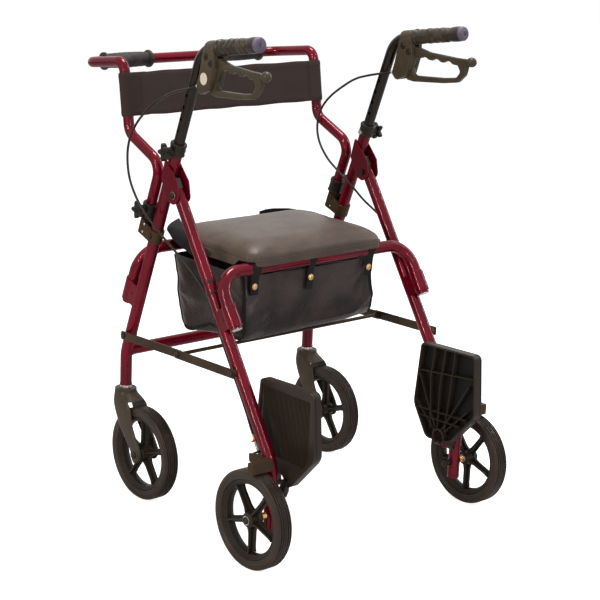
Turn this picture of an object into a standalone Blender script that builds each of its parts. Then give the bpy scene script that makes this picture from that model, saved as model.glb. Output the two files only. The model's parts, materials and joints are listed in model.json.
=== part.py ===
"""Rollator that turns into a transport wheelchair.

Metres, +Z up, x > 0 on the right. +Y is the end with the casters, the backrest and
the push bar. -Y is the end with the braked wheels, the handles and the footplates.
Side views are drawn as (y, z) pairs from y = 0 between the legs, and the last step
moves the whole model in y, so that its origin lies under the middle of its box.
"""
import bpy
import bmesh
from math import acos, atan, cos, degrees, pi, radians, sin, sqrt, tan
from mathutils import Matrix, Quaternion, Vector

# Clearances and fasteners
GAP = 0.0003
BOLT_R = 0.004
PIN_R = 0.003
SCREW_R = 0.0025
NUT_R = 0.0075
NUT_T = 0.0045
TINY = 1e-7

# Tubes
TUBE_R = 0.0127
SLIDING_TUBE_R = 0.0111
TUBE_SIDES = 10
HOLE_SIDES = 6
TUBE_WALL = 0.0013
SLIDE_BORE_R = SLIDING_TUBE_R + GAP
SOCKET_R = 0.0152
SOCKET_BORE_R = TUBE_R + GAP
SHEET_T = 0.003

# Wheels
WHEEL_R = 0.100
TYRE_BORE_R = 0.080
TYRE_HALF_WIDTH = 0.0175
RIM_HALF_WIDTH = 0.0135
RIM_INNER_R = 0.069
HUB_R = 0.0165
HUB_HALF_WIDTH = 0.0165
SPOKES = 5
SPOKE_FLANGE = 0.0075
SPOKE_FACE = 0.0090
SPOKE_T = 0.0045
WHEEL_STEPS = 16
REAR_WHEEL_X = 0.3015
REAR_BOLT_INNER_X = 0.2265
REAR_BOLT_OUTER_X = 0.3255

# Front legs: upright at the caster, then leaning back to the handle
LEG_X = 0.258
FRONT_LEAN = -radians(19.6)
CASTER_Y = 0.209
FRONT_LEG_BOTTOM = 2 * WHEEL_R + 0.034
FRONT_BEND_Z = 0.307
FRONT_BEND_R = 0.08
FRONT_LEG_TOP = 0.776
LEG_BORE_DEPTH = 0.195

# Rear legs: hung on the fold bolt, leaning to the rear wheel, then upright
FOLD = (0.036, 0.678)
REAR_LEAN = radians(33.5)
REAR_AXLE_Y = -0.280
REAR_BEND_R = 0.07
REAR_LEG_ABOVE = 0.031
REAR_LEG_BOTTOM = 0.064

# Seat tubes and their sockets
SEAT_BEND_R = 0.052
FRONT_SOCKET_Z = 0.4385
FRONT_SOCKET_OFFSET = 0.0345
FRONT_SOCKET_LENGTH = 0.050
FRONT_RUN_Z = 0.540
REAR_SOCKET_T = -0.2738
REAR_SOCKET_OFFSET = -0.033
REAR_SOCKET_LENGTH = 0.045
REAR_RUN_Z = 0.542
SEAT_TUBE_PEEP = 0.006

# Casters
CASTER_TRAIL = 0.072
CROWN_R = 0.029
CROWN_TOP = FRONT_LEG_BOTTOM - 0.0028
CROWN_T = 0.009
FORK_HALF_WIDTH = 0.0285
ARM_T = 0.0065
STEM_R = 0.0055
STEM_UP = 0.030
WASHER_R = 0.0165
CASTER_BOLT_OUT = 0.0335

# Handles
COLLAR_LIP = 0.007
HANDLE_TOP = FRONT_LEG_TOP + COLLAR_LIP
HANDLE_TOE = radians(4.2)
HANDLE_CORNER_Z = 0.975
HANDLE_BEND_R = 0.055
HANDLE_INSERT = 0.115
GRIP_RISE = radians(9.0)
GRIP_START_Y = -0.089
GRIP_END_Y = -0.218
GRIP_R = 0.016
COLLAR_R = 0.0170
COLLAR_LENGTH = 0.026
ADJUST_HOLES = 4
ADJUST_PITCH = 0.0257
FIRST_HOLE_Z = HANDLE_TOP + 0.026
ADJUST_HOLE_R = 0.0033

# Knobs with five lobes
HANDLE_KNOB_Z = HANDLE_TOP - 0.0185
KNOB_R = 0.0165
KNOB_LOBE = 0.0022
KNOB_T = 0.013
KNOB_BOSS = 0.0225
KNOB_BOSS_R = 0.0095

# Brake handle
HOUSING_HALF_WIDTH = 0.0175
CLAMP_R = 0.0155
LEVER_PIVOT = (-0.078, 0.955)
LEVER_T = 0.012
LEVER_BALL = (-0.238, 0.9465)
LEVER_BALL_R = 0.013
FERRULE_R = 0.0040
FERRULE_OFFSET = 0.011
FERRULE_END = (-0.031, 0.9045)
FERRULE_WAY = Vector((0, 0.954, -0.301))
CABLE_R = 0.0025

# Brake shoe, its cable stop and spring
SHOE_PIVOT = (REAR_AXLE_Y + 0.014, 2 * WHEEL_R + 0.010)
SHOE_X = 0.2735
SHOE_GAP = 0.0022
PAD_T = 0.016
STOP_ABOVE_SHOE = 0.039
STOP_T = (SHOE_PIVOT[1] + STOP_ABOVE_SHOE - FOLD[1]) / cos(REAR_LEAN)
STOP_OFFSET = 0.0195
STOP_LENGTH = 0.014
ADJUSTER_R = 0.0035
ADJUSTER_LENGTH = 0.016
SPRING_R = 0.0042
SPRING_WIRE_R = 0.0007
SPRING_TURNS = 4
SPRING_LENGTH = 0.0165
CABLE_X = 0.262

# Backrest
BACK_SOCKET = (0.129, 0.643)
STUB_LOW = -0.060
STUB_HIGH = -0.003
BACK_INSERT = -0.055
BACK_LOW_CORNER_T = 0.0915
BACK_MID = (0.209, 0.778)
BACK_TOP = (0.232, 0.921)
PUSH_BAR = (0.370, 0.903)
BACK_COLLAR_LENGTH = 0.030
BACK_KNOB_T = -0.011
BRACKET_Z = 0.587
BRACKET_LOW = -0.0205
BRACKET_HIGH = 0.0068
BRACKET_WING_HIGH = 0.0160
BRACKET_BEYOND = 0.003
PUSH_GRIP_IN = 0.093
PUSH_GRIP_OUT = 0.215
PUSH_GRIP_R = 0.016
PUSH_FLANGE_R = 0.019
STRAP_LOW = 0.033
STRAP_WIDTH = 0.089
STRAP_T = 0.0024
STRAP_SAG = 0.006

# Fold links
FRONT_LINK_Z = 0.349
LINK_MIDDLE = (0.001, 0.357)
REAR_LINK_T = -0.3787
LINK_W = 0.0185
LINK_T = 0.003
INNER_LAYER_X = 0.2745
OUTER_LAYER_X = 0.2781
ROD_R = 0.004

# Seat and bag
SEAT_HALF_WIDTH = 0.190
SEAT_REAR_Y = -0.113
SEAT_FRONT_Y = 0.175
SEAT_EDGE = 0.011
SEAT_CROWN = 0.038
SEAT_SLOPE = 0.032
SEAT_DRAW = 0.004
SEAT_CLIP_X = 0.155
SEAT_CLIP_W = 0.026
SEAT_CLIP_T = 0.003
BAG_LEFT = -0.190
BAG_REAR_Y = -0.089
BAG_RIGHT = 0.180
TAB_W = 0.024
TAB_T = 0.0012
REAR_TAB_X = (-0.165, -0.007, 0.148)
FRONT_TAB_X = (-0.095, 0.095)

# Footplates, turned up beside the rear legs
PLATE_HINGE = (0.2355, 0.140)
HANGER_Y = -0.270
HANGER_R = 0.008
PLATE_IN_X = 0.212
PLATE_OUT_X = 0.232
PLATE_SKIN = 0.006
KNUCKLE_R = 0.0065
KNUCKLE_IN = 0.0095
KNUCKLE_OUT = 0.0270
NOTCH_R = 0.014

# The box runs from the rear tyres to the push grips' end flanges
ORIGIN_Y = ((PUSH_BAR[0] + PUSH_FLANGE_R) + (REAR_AXLE_Y - WHEEL_R)) / 2

SIDES = {"left": -1, "right": 1}
X_AXIS = Vector((1, 0, 0))
Y_AXIS = Vector((0, 1, 0))
Z_AXIS = Vector((0, 0, 1))

LOOKS = {
    "burgundy": ((0.32, 0.006, 0.024), 0.22, 0.75),
    "black_plastic": ((0.035, 0.030, 0.026), 0.42, 0.0),
    "grip_rubber": ((0.028, 0.025, 0.023), 0.62, 0.0),
    "foam": ((0.030, 0.027, 0.025), 0.85, 0.0),
    "tyre_rubber": ((0.085, 0.080, 0.085), 0.70, 0.0),
    "steel": ((0.62, 0.62, 0.64), 0.28, 1.0),
    "black_steel": ((0.030, 0.026, 0.022), 0.35, 0.6),
    "vinyl": ((0.105, 0.088, 0.072), 0.50, 0.0),
    "bag_cloth": ((0.050, 0.042, 0.040), 0.75, 0.0),
    "webbing": ((0.055, 0.040, 0.030), 0.80, 0.0),
    "cable_black": ((0.020, 0.018, 0.018), 0.45, 0.0),
}


def clear_scene():
    for obj in list(bpy.data.objects):
        bpy.data.objects.remove(obj, do_unlink=True)


def material(look):
    """Principled material of one of the LOOKS."""
    if look in bpy.data.materials:
        return bpy.data.materials[look]
    rgb, roughness, metallic = LOOKS[look]
    mat = bpy.data.materials.new(look)
    mat.use_nodes = True
    shader = mat.node_tree.nodes["Principled BSDF"]
    shader.inputs["Base Color"].default_value = (*rgb, 1.0)
    shader.inputs["Roughness"].default_value = roughness
    shader.inputs["Metallic"].default_value = metallic
    mat.diffuse_color = (*rgb, 1.0)
    return mat


def solid(verts, faces):
    """Object from corners and faces, with its faces turned outwards."""
    mesh = bpy.data.meshes.new("solid")
    mesh.from_pydata([tuple(v) for v in verts], [], faces)
    bm = bmesh.new()
    bm.from_mesh(mesh)
    bmesh.ops.recalc_face_normals(bm, faces=bm.faces)
    bm.to_mesh(mesh)
    bm.free()
    obj = bpy.data.objects.new("solid", mesh)
    bpy.context.scene.collection.objects.link(obj)
    return obj


def merge_near(mesh, distance=2e-6):
    """Weld corners that a Boolean left closer than the mesh's own precision."""
    bm = bmesh.new()
    bm.from_mesh(mesh)
    bmesh.ops.remove_doubles(bm, verts=bm.verts, dist=distance)
    bmesh.ops.dissolve_degenerate(bm, edges=bm.edges, dist=distance)
    bm.to_mesh(mesh)
    bm.free()


def combine(target, tools, operation):
    """Boolean of the tools on the target, kept as the target's own mesh."""
    for tool in tools:
        modifier = target.modifiers.new("boolean", "BOOLEAN")
        modifier.operation = operation
        modifier.solver = "EXACT"
        modifier.object = tool
        graph = bpy.context.evaluated_depsgraph_get()
        mesh = bpy.data.meshes.new_from_object(target.evaluated_get(graph))
        target.modifiers.clear()
        merge_near(mesh)
        target.data = mesh
        bpy.data.objects.remove(tool, do_unlink=True)
    return target


def join(target, *tools):
    return combine(target, tools, "UNION")


def cut(target, *tools):
    return combine(target, tools, "DIFFERENCE")


def finish(name, obj, look, origin=(0, 0, 0), parent=None):
    """Name a piece, dress it, and put its origin on its joint or seat."""
    place = Vector(origin)
    if parent is not None:
        place = place - parent.location
    obj.data.transform(Matrix.Translation(-Vector(origin)))
    obj.name = name
    obj.data.name = name
    obj.location = place
    obj.parent = parent
    obj.data.materials.clear()
    obj.data.materials.append(material(look))
    obj.data.shade_smooth()
    obj.data.set_sharp_from_angle(angle=radians(38))
    return obj


def slanted(point, lean, t, off=0.0):
    """(y, z) at t up a line through point that leans from vertical towards +Y,
    off to its +Y side."""
    return (point[0] + t * sin(lean) + off * cos(lean),
            point[1] + t * cos(lean) - off * sin(lean))


def at(x, yz):
    return Vector((x, yz[0], yz[1]))


def up_line(lean):
    return Vector((0, sin(lean), cos(lean)))


def fillet(corners, closed=False, step=radians(19)):
    """Points of a path or outline whose corners, (point, radius), are rounded."""
    points = [Vector(p).to_3d() for p, r in corners]
    count = len(points)
    out = []
    for i, (corner, radius) in enumerate(corners):
        here = points[i]
        end = not closed and i in (0, count - 1)
        if end or radius <= 0:
            out.append(here)
            continue
        to_last = (points[i - 1] - here).normalized()
        to_next = (points[(i + 1) % count] - here).normalized()
        turn = pi - acos(max(-1.0, min(1.0, to_last.dot(to_next))))
        if turn < radians(1):
            out.append(here)
            continue
        back = radius * tan(turn / 2)
        inward = (to_last + to_next).normalized()
        centre = here + inward * (radius / cos(turn / 2))
        spoke = here + to_last * back - centre
        axis = (-to_last).cross(to_next).normalized()
        steps = max(1, round(turn / step))
        for k in range(steps + 1):
            out.append(centre + Quaternion(axis, turn * k / steps) @ spoke)
    return out


def outline(*corners, step=radians(55)):
    """Closed (y, z) outline from corners (y, z, radius)."""
    pairs = [((y, z, 0.0), r) for y, z, r in corners]
    return [(p.x, p.y) for p in fillet(pairs, closed=True, step=step)]


def sweep(path, radius, sides=TUBE_SIDES):
    """Round bar along a path."""
    count = len(path)
    tangents = []
    for i in range(count):
        before = path[max(i - 1, 0)]
        after = path[min(i + 1, count - 1)]
        incoming = (path[i] - before).normalized() if i else None
        outgoing = (after - path[i]).normalized() if i < count - 1 else None
        tangents.append(((incoming or outgoing) + (outgoing or incoming)).normalized())
    side = tangents[0].orthogonal().normalized()
    verts = []
    for point, tangent in zip(path, tangents):
        side = (side - tangent * side.dot(tangent)).normalized()
        other = tangent.cross(side)
        for k in range(sides):
            angle = 2 * pi * (k + 0.5) / sides
            verts.append(point + (side * cos(angle) + other * sin(angle)) * radius)
    faces = [tuple(range(sides)), tuple(range((count - 1) * sides, count * sides))]
    for i in range(count - 1):
        for k in range(sides):
            nxt = (k + 1) % sides
            a, b = i * sides, (i + 1) * sides
            faces.append((a + k, a + nxt, b + nxt, b + k))
    return solid(verts, faces)


def turned(profile, base, axis, steps=TUBE_SIDES):
    """Closed profile of (radius, height) turned about an axis through base."""
    base = Vector(base)
    axis = Vector(axis).normalized()
    side = axis.orthogonal().normalized()
    other = axis.cross(side)
    verts = []
    rings = []
    for radius, height in profile:
        centre = base + axis * height
        first = len(verts)
        if radius < TINY:
            verts.append(centre)
            rings.append([first])
            continue
        for k in range(steps):
            angle = 2 * pi * k / steps
            verts.append(centre + (side * cos(angle) + other * sin(angle)) * radius)
        rings.append(list(range(first, first + steps)))
    faces = []
    for a, b in zip(rings, rings[1:] + rings[:1]):
        for k in range(steps):
            nxt = (k + 1) % steps
            if len(a) == 1 and len(b) == 1:
                continue
            if len(a) == 1:
                faces.append((a[0], b[k], b[nxt]))
            elif len(b) == 1:
                faces.append((a[k], a[nxt], b[0]))
            else:
                faces.append((a[k], a[nxt], b[nxt], b[k]))
    return solid(verts, faces)


def rod(start, end, radius, steps=TUBE_SIDES):
    """Plain cylinder between two points."""
    start = Vector(start)
    along = Vector(end) - start
    length = along.length
    return turned([(0, 0), (radius, 0), (radius, length), (0, length)], start, along, steps)


def cross_rod(x_a, x_b, yz, radius, steps=TUBE_SIDES):
    return rod(at(x_a, yz), at(x_b, yz), radius, steps)


def clear(radius, steps=TUBE_SIDES):
    """Corner radius of a bore whose flats still clear the radius."""
    return radius / cos(pi / steps)


def bore(start, end, radius, steps=TUBE_SIDES):
    return rod(start, end, clear(radius, steps), steps)


def cross_bore(x_a, x_b, yz, radius, steps=HOLE_SIDES):
    return bore(at(x_a, yz), at(x_b, yz), radius, steps)


def prism(shape, low, high, u=Y_AXIS, v=Z_AXIS, w=X_AXIS, base=Vector((0, 0, 0))):
    """Outline of (a, b) points along u and v, extruded from low to high along w."""
    count = len(shape)
    verts = [base + u * a + v * b + w * h for h in (low, high) for a, b in shape]
    faces = [tuple(range(count)), tuple(range(count, 2 * count))]
    for i in range(count):
        nxt = (i + 1) % count
        faces.append((i, nxt, count + nxt, count + i))
    return solid(verts, faces)


def front_leg_y(z):
    """y of the leaning front leg's axis at height z."""
    return CASTER_Y + (z - FRONT_BEND_Z) * tan(FRONT_LEAN)


def front_leg_point(z):
    return (front_leg_y(z), z)


def front_leg_path(x):
    return fillet([(at(x, (CASTER_Y, FRONT_LEG_BOTTOM)), 0),
                   (at(x, (CASTER_Y, FRONT_BEND_Z)), FRONT_BEND_R),
                   (at(x, front_leg_point(FRONT_LEG_TOP)), 0)])


def rear_corner_z():
    return FOLD[1] - (FOLD[0] - REAR_AXLE_Y) / tan(REAR_LEAN)


def rear_leg_path(x):
    return fillet([(at(x, slanted(FOLD, REAR_LEAN, REAR_LEG_ABOVE)), 0),
                   (at(x, (REAR_AXLE_Y, rear_corner_z())), REAR_BEND_R),
                   (at(x, (REAR_AXLE_Y, REAR_LEG_BOTTOM)), 0)])


def front_socket():
    """Centre of the front seat tube's socket."""
    return slanted(front_leg_point(FRONT_SOCKET_Z), FRONT_LEAN, 0, FRONT_SOCKET_OFFSET)


def rear_socket():
    """Centre of the rear seat tube's socket."""
    return slanted(FOLD, REAR_LEAN, REAR_SOCKET_T, REAR_SOCKET_OFFSET)


def add_socket(leg, x, centre, lean, length, offset):
    """Bent-sheet socket beside a leg: a sleeve and a block that wraps to the leg."""
    sleeve = rod(at(x, slanted(centre, lean, -length / 2)),
                 at(x, slanted(centre, lean, length / 2)), SOCKET_R)
    half = length / 2 - 0.0005
    web = prism([slanted(centre, lean, -half), slanted(centre, lean, half),
                 slanted(centre, lean, half, -offset), slanted(centre, lean, -half, -offset)],
                x - TUBE_R * 0.97, x + TUBE_R * 0.97)
    join(leg, web, sleeve)
    return cut(leg, bore(at(x, slanted(centre, lean, -length)),
                         at(x, slanted(centre, lean, length)), SOCKET_BORE_R))


def seat_run(socket, lean, run_z):
    """(y, z) where a seat tube's upright ends meet its cross run."""
    return slanted(socket, lean, (run_z - socket[1]) / cos(lean))


def rear_run():
    return seat_run(rear_socket(), REAR_LEAN, REAR_RUN_Z)


def front_run():
    return seat_run(front_socket(), FRONT_LEAN, FRONT_RUN_Z)


def make_seat_tube(name, socket, lean, length, run_z):
    """Cross tube whose bent ends stand in the sockets."""
    foot = slanted(socket, lean, -length / 2 - SEAT_TUBE_PEEP)
    corner = seat_run(socket, lean, run_z)
    path = fillet([(at(-LEG_X, foot), 0), (at(-LEG_X, corner), SEAT_BEND_R),
                   (at(LEG_X, corner), SEAT_BEND_R), (at(LEG_X, foot), 0)])
    return finish(name, sweep(path, TUBE_R), "burgundy", at(0, corner))


def hinge_plate_outline():
    """Welded plate from the front leg down around the fold bolt."""
    y, z = FOLD
    return outline((y + 0.028, z + 0.072, 0.003), (y + 0.040, z + 0.028, 0.006),
                   (y + 0.020, z - 0.012, 0.008), (y + 0.000, z - 0.020, 0.012),
                   (y - 0.0195, z - 0.009, 0.014), (y - 0.012, z + 0.028, 0.006))


def make_front_leg(side, s):
    x = s * LEG_X
    leg = sweep(front_leg_path(x), TUBE_R)
    plate_in = TUBE_R + GAP
    weld_low = FOLD[1] + 0.026
    weld_high = FOLD[1] + 0.064
    weld = [slanted(front_leg_point(z), FRONT_LEAN, 0, off)
            for z, off in ((weld_low, -0.003), (weld_high, -0.003),
                           (weld_high, 0.003), (weld_low, 0.003))]
    for k in (-1, 1):
        join(leg, prism(weld, x + k * (TUBE_R - 0.002), x + k * (plate_in + 0.001)),
             prism(hinge_plate_outline(), x + k * plate_in, x + k * (plate_in + SHEET_T)))
    add_socket(leg, x, front_socket(), FRONT_LEAN, FRONT_SOCKET_LENGTH, FRONT_SOCKET_OFFSET)
    top = at(x, front_leg_point(FRONT_LEG_TOP))
    up = up_line(FRONT_LEAN)
    cut(leg, bore(top - up * LEG_BORE_DEPTH, top + up * 0.01, SLIDE_BORE_R),
        bore((x, CASTER_Y, FRONT_LEG_BOTTOM - 0.01),
             (x, CASTER_Y, FRONT_LEG_BOTTOM + STEM_UP), STEM_R + GAP, HOLE_SIDES),
        cross_bore(x - 0.05, x + 0.05, FOLD, BOLT_R + GAP),
        cross_bore(x + s * 0.003, x + s * 0.03, front_leg_point(FRONT_LINK_Z), PIN_R + GAP),
        cross_bore(x + s * 0.002, x + s * 0.03, front_leg_point(HANDLE_KNOB_Z), SCREW_R + GAP))
    return finish("front_leg_" + side, leg, "burgundy", (x, CASTER_Y, FRONT_LEG_BOTTOM))


def make_crossbar():
    """Lower front tube, coped round both front legs."""
    z = FRONT_BEND_Z + 0.004
    bar = cross_rod(-LEG_X, LEG_X, (CASTER_Y - 0.001, z), TUBE_R)
    for s in SIDES.values():
        cut(bar, sweep(front_leg_path(s * LEG_X), clear(TUBE_R + GAP)))
    return finish("front_crossbar", bar, "burgundy", (0, CASTER_Y, z))


def make_pivot_bolt(side, s):
    """Bolt of the fold, with its head outside and its nut inside."""
    x = s * LEG_X
    face = TUBE_R + GAP + SHEET_T + GAP
    head = face + NUT_T
    bolt = turned([(0, -head), (NUT_R, -head), (NUT_R, -face), (BOLT_R, -face),
                   (BOLT_R, face), (NUT_R, face), (NUT_R * 0.85, head + 0.001), (0, head + 0.001)],
                  at(x, FOLD), X_AXIS * s, TUBE_SIDES)
    return finish("pivot_bolt_" + side, bolt, "steel", at(x, FOLD))


def make_rear_leg(side, s):
    x = s * LEG_X
    leg = sweep(rear_leg_path(x), TUBE_R)
    add_socket(leg, x, rear_socket(), REAR_LEAN, REAR_SOCKET_LENGTH, REAR_SOCKET_OFFSET)
    add_cable_stop(leg, s)
    add_hanger(leg, s)
    cut(leg, sweep([at(x, front_leg_point(FOLD[1] - 0.08)), at(x, front_leg_point(FOLD[1] + 0.09))],
                   clear(TUBE_R + GAP)),
        cross_bore(x - 0.03, x + 0.03, FOLD, BOLT_R + GAP),
        cross_bore(x - 0.03, x + 0.03, (REAR_AXLE_Y, WHEEL_R), BOLT_R + GAP),
        cross_bore(x + s * 0.003, x + s * 0.03, SHOE_PIVOT, PIN_R + GAP),
        cross_bore(x + s * 0.003, x + s * 0.03, rear_link_pin(), PIN_R + GAP))
    return finish("rear_leg_" + side, leg, "burgundy", at(x, FOLD))


def cable_stop_point(t):
    """(y, z) on the brake wire's line, t up from the stop tab."""
    return slanted(FOLD, REAR_LEAN, STOP_T + t, STOP_OFFSET)


def add_cable_stop(leg, s):
    """Tab on the leg that holds the cable's barrel adjuster."""
    half = SHEET_T / 2
    tip = STOP_OFFSET + 0.0055
    tab = prism([slanted(FOLD, REAR_LEAN, STOP_T + t, off)
                 for t, off in ((-half, tip), (half, tip), (half, TUBE_R - 0.003),
                                (-half, TUBE_R - 0.003))],
                s * CABLE_X - 0.006, s * CABLE_X + 0.006)
    adjuster = rod(at(s * CABLE_X, cable_stop_point(-0.0025)),
                   at(s * CABLE_X, cable_stop_point(ADJUSTER_LENGTH - 0.0025)), ADJUSTER_R, HOLE_SIDES)
    return join(leg, tab, adjuster)


def add_hanger(leg, s):
    """Stub on the leg with the footplate's hinge pin through it."""
    hinge_x, hinge_z = PLATE_HINGE
    stub = cross_rod(s * (hinge_x - 0.004), s * LEG_X, (HANGER_Y, hinge_z), HANGER_R, TUBE_SIDES)
    reach = KNUCKLE_OUT + GAP + 0.002
    pin = rod((s * hinge_x, HANGER_Y - reach, hinge_z), (s * hinge_x, HANGER_Y + reach, hinge_z),
              PIN_R, HOLE_SIDES)
    return join(leg, stub, pin)


def rear_link_pin():
    return slanted(FOLD, REAR_LEAN, REAR_LINK_T)


def make_link(name, s, pin, layer, has_middle_bolt):
    """Flat fold link from its leg's pin to the middle of the linkage."""
    start = Vector(pin)
    end = Vector(LINK_MIDDLE)
    along = (end - start).normalized()
    across = Vector((-along.y, along.x))
    w = LINK_W / 2
    shape = []
    for centre, direction in ((start, -1), (end, 1)):
        for k in range(7):
            angle = pi * k / 6 - pi / 2
            offset = along * (direction * cos(angle)) + across * (direction * sin(angle))
            shape.append(tuple(centre + offset * w))
    bar = prism(shape, s * layer, s * (layer + LINK_T))
    skin = LEG_X + TUBE_R
    bolt = turned([(0, LEG_X + 0.0045), (PIN_R, LEG_X + 0.0045), (PIN_R, skin + GAP),
                   (NUT_R, skin + GAP), (NUT_R, layer + 0.001), (PIN_R, layer + 0.001),
                   (PIN_R, layer + LINK_T - 0.001), (NUT_R, layer + LINK_T - 0.001),
                   (NUT_R * 0.85, layer + LINK_T + NUT_T), (0, layer + LINK_T + NUT_T)],
                  at(0, pin), X_AXIS * s, HOLE_SIDES)
    join(bar, bolt)
    if has_middle_bolt:
        head = turned([(0, layer + 0.001), (NUT_R, layer + 0.001),
                       (NUT_R * 0.85, layer + LINK_T + NUT_T), (0, layer + LINK_T + NUT_T)],
                      at(0, LINK_MIDDLE), X_AXIS * s, HOLE_SIDES)
        join(bar, head)
    return finish(name, bar, "black_steel", at(s * layer, pin))


def make_link_rod():
    """Cross rod that ties the two middle joints of the linkage."""
    end = INNER_LAYER_X - GAP
    rod_piece = cross_rod(-end, end, LINK_MIDDLE, ROD_R, TUBE_SIDES)
    return finish("link_rod", rod_piece, "black_steel", at(0, LINK_MIDDLE))


def collar_profile(lip, length):
    """Sleeve over a tube's end, with a lip that the sliding tube passes."""
    slide = clear(SLIDE_BORE_R)
    seat = clear(TUBE_R + GAP)
    return [(slide, 0), (COLLAR_R - 0.0015, 0), (COLLAR_R, -0.0015), (COLLAR_R, -length),
            (seat, -length), (seat, -lip), (slide, -lip)]


def make_handle_collar(side, s):
    """Plastic cap on the front leg's top, with the boss of the height knob."""
    x = s * LEG_X
    top = at(x, front_leg_point(HANDLE_TOP))
    lip = COLLAR_LIP / cos(FRONT_LEAN) - GAP
    up = up_line(FRONT_LEAN)
    collar = turned(collar_profile(lip, COLLAR_LENGTH), top, up)
    knob = front_leg_point(HANDLE_KNOB_Z)
    boss = cross_rod(x + s * (COLLAR_R - 0.003), x + s * KNOB_BOSS, knob, KNOB_BOSS_R, TUBE_SIDES)
    nut = cross_rod(x - s * (COLLAR_R - 0.002), x - s * (COLLAR_R + 0.003), knob, 0.005, 6)
    join(collar, boss, nut)
    cut(collar, cross_bore(x + s * 0.005, x + s * 0.04, knob, SCREW_R + GAP))
    return finish("handle_collar_" + side, collar, "black_plastic", top)


def make_knob(name, x, s, yz, inner_end):
    """Clamping knob with five lobes and its screw."""
    steps = 15
    face = KNOB_BOSS + GAP
    star = []
    for k in range(steps):
        angle = 2 * pi * k / steps
        radius = KNOB_R + KNOB_LOBE * cos(5 * angle)
        star.append((radius * cos(angle), radius * sin(angle)))
    body = prism(star, face + 0.002, face + KNOB_T, base=at(x, yz), w=X_AXIS * s)
    hub = turned([(0, inner_end), (SCREW_R, inner_end), (SCREW_R, face), (0.009, face),
                  (0.006, face + KNOB_T + 0.001), (0, face + KNOB_T + 0.001)],
                 at(x, yz), X_AXIS * s, HOLE_SIDES)
    return finish(name, join(body, hub), "black_plastic", at(x, yz))


def handle_frame(side, s):
    """Empty on the leg's axis at the collar, turned out by the handle's toe."""
    empty = bpy.data.objects.new("handle_frame_" + side, None)
    bpy.context.scene.collection.objects.link(empty)
    empty.location = at(s * LEG_X, front_leg_point(HANDLE_TOP))
    empty.rotation_mode = "QUATERNION"
    empty.rotation_quaternion = Quaternion(up_line(FRONT_LEAN), s * HANDLE_TOE)
    return empty


def grip_point(y):
    """(y, z) on the grip's axis, which rises towards its end."""
    y_corner = front_leg_y(HANDLE_CORNER_Z)
    return (y, HANDLE_CORNER_Z + (y_corner - y) * tan(GRIP_RISE))


def grip_axis():
    return Vector((0, -cos(GRIP_RISE), sin(GRIP_RISE)))


def handle_path(x):
    foot = slanted(front_leg_point(HANDLE_TOP), FRONT_LEAN, -HANDLE_INSERT)
    return fillet([(at(x, foot), 0), (at(x, front_leg_point(HANDLE_CORNER_Z)), HANDLE_BEND_R),
                   (at(x, grip_point(GRIP_END_Y + 0.008)), 0)])


def make_handle_tube(side, s, frame):
    """Telescoping tube with a row of height holes."""
    x = s * LEG_X
    tube = sweep(handle_path(x), SLIDING_TUBE_R, TUBE_SIDES)
    up = up_line(FRONT_LEAN)
    first = at(x, front_leg_point(FIRST_HOLE_Z))
    holes = []
    for k in range(ADJUST_HOLES):
        centre = first + up * (ADJUST_PITCH * k)
        holes.append(rod(centre - X_AXIS * 0.02, centre + X_AXIS * 0.02, ADJUST_HOLE_R, 6))
    cut(tube, *holes)
    return finish("handle_tube_" + side, tube, "black_steel", frame.location, frame)


def make_grip(side, s, frame):
    """Ribbed hand grip, closed at its end."""
    x = s * LEG_X
    length = (GRIP_START_Y - GRIP_END_Y) / cos(GRIP_RISE)
    bore_end = length - 0.0075
    slide = clear(SLIDE_BORE_R)
    profile = [(slide, 0), (GRIP_R + 0.001, 0), (GRIP_R + 0.002, 0.003), (GRIP_R, 0.007)]
    for k in range(3):
        start = 0.030 + 0.018 * k
        profile += [(GRIP_R - 0.0004, start), (GRIP_R + 0.0018, start + 0.006)]
    profile += [(GRIP_R - 0.0010, 0.090), (GRIP_R - 0.0015, 0.102), (GRIP_R + 0.0006, 0.114),
                (GRIP_R - 0.0006, length - 0.002), (GRIP_R - 0.003, length), (0, length),
                (0, bore_end), (slide, bore_end)]
    grip = turned(profile, at(x, grip_point(GRIP_START_Y)), grip_axis())
    return finish("grip_" + side, grip, "grip_rubber", frame.location, frame)


def make_brake_housing(side, s, frame):
    """Brake handle body: clamp round the tube, slot and pin for the lever, ferrule."""
    x = s * LEG_X
    shape = outline((-0.0885, 0.986, 0.003), (-0.054, 0.980, 0.006), (-0.043, 0.930, 0.02),
                    (-0.035, 0.904, 0.006), (-0.048, 0.890, 0.006), (-0.078, 0.903, 0.012),
                    (-0.0925, 0.950, 0.02))
    body = prism(shape, x - HOUSING_HALF_WIDTH, x + HOUSING_HALF_WIDTH)
    clamp_start = at(x, grip_point(-0.056))
    clamp_end = at(x, grip_point(GRIP_START_Y + 0.0006))
    join(body, rod(clamp_start, clamp_end, CLAMP_R))
    slot = LEVER_T / 2 + 2 * GAP
    cut(body, sweep(handle_path(x), clear(SLIDE_BORE_R, TUBE_SIDES), TUBE_SIDES),
        prism([(-0.12, 0.87), (-0.053, 0.87), (-0.053, 0.9705), (-0.12, 0.9705)],
              x - slot, x + slot))
    y, z = LEVER_PIVOT
    face = x + s * HOUSING_HALF_WIDTH
    ferrule_out = Vector((x - FERRULE_OFFSET, *FERRULE_END))
    ferrule_in = ferrule_out - FERRULE_WAY * 0.020
    join(body, cross_rod(x - HOUSING_HALF_WIDTH + 0.003, x + HOUSING_HALF_WIDTH - 0.003,
                         LEVER_PIVOT, SCREW_R, HOLE_SIDES),
         cross_rod(face - s * 0.002, face + s * 0.0012, (y + 0.0155, z - 0.032), 0.012),
         rod(ferrule_in, ferrule_out, FERRULE_R, HOLE_SIDES))
    return finish("brake_housing_" + side, body, "black_plastic", frame.location, frame)


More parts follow.
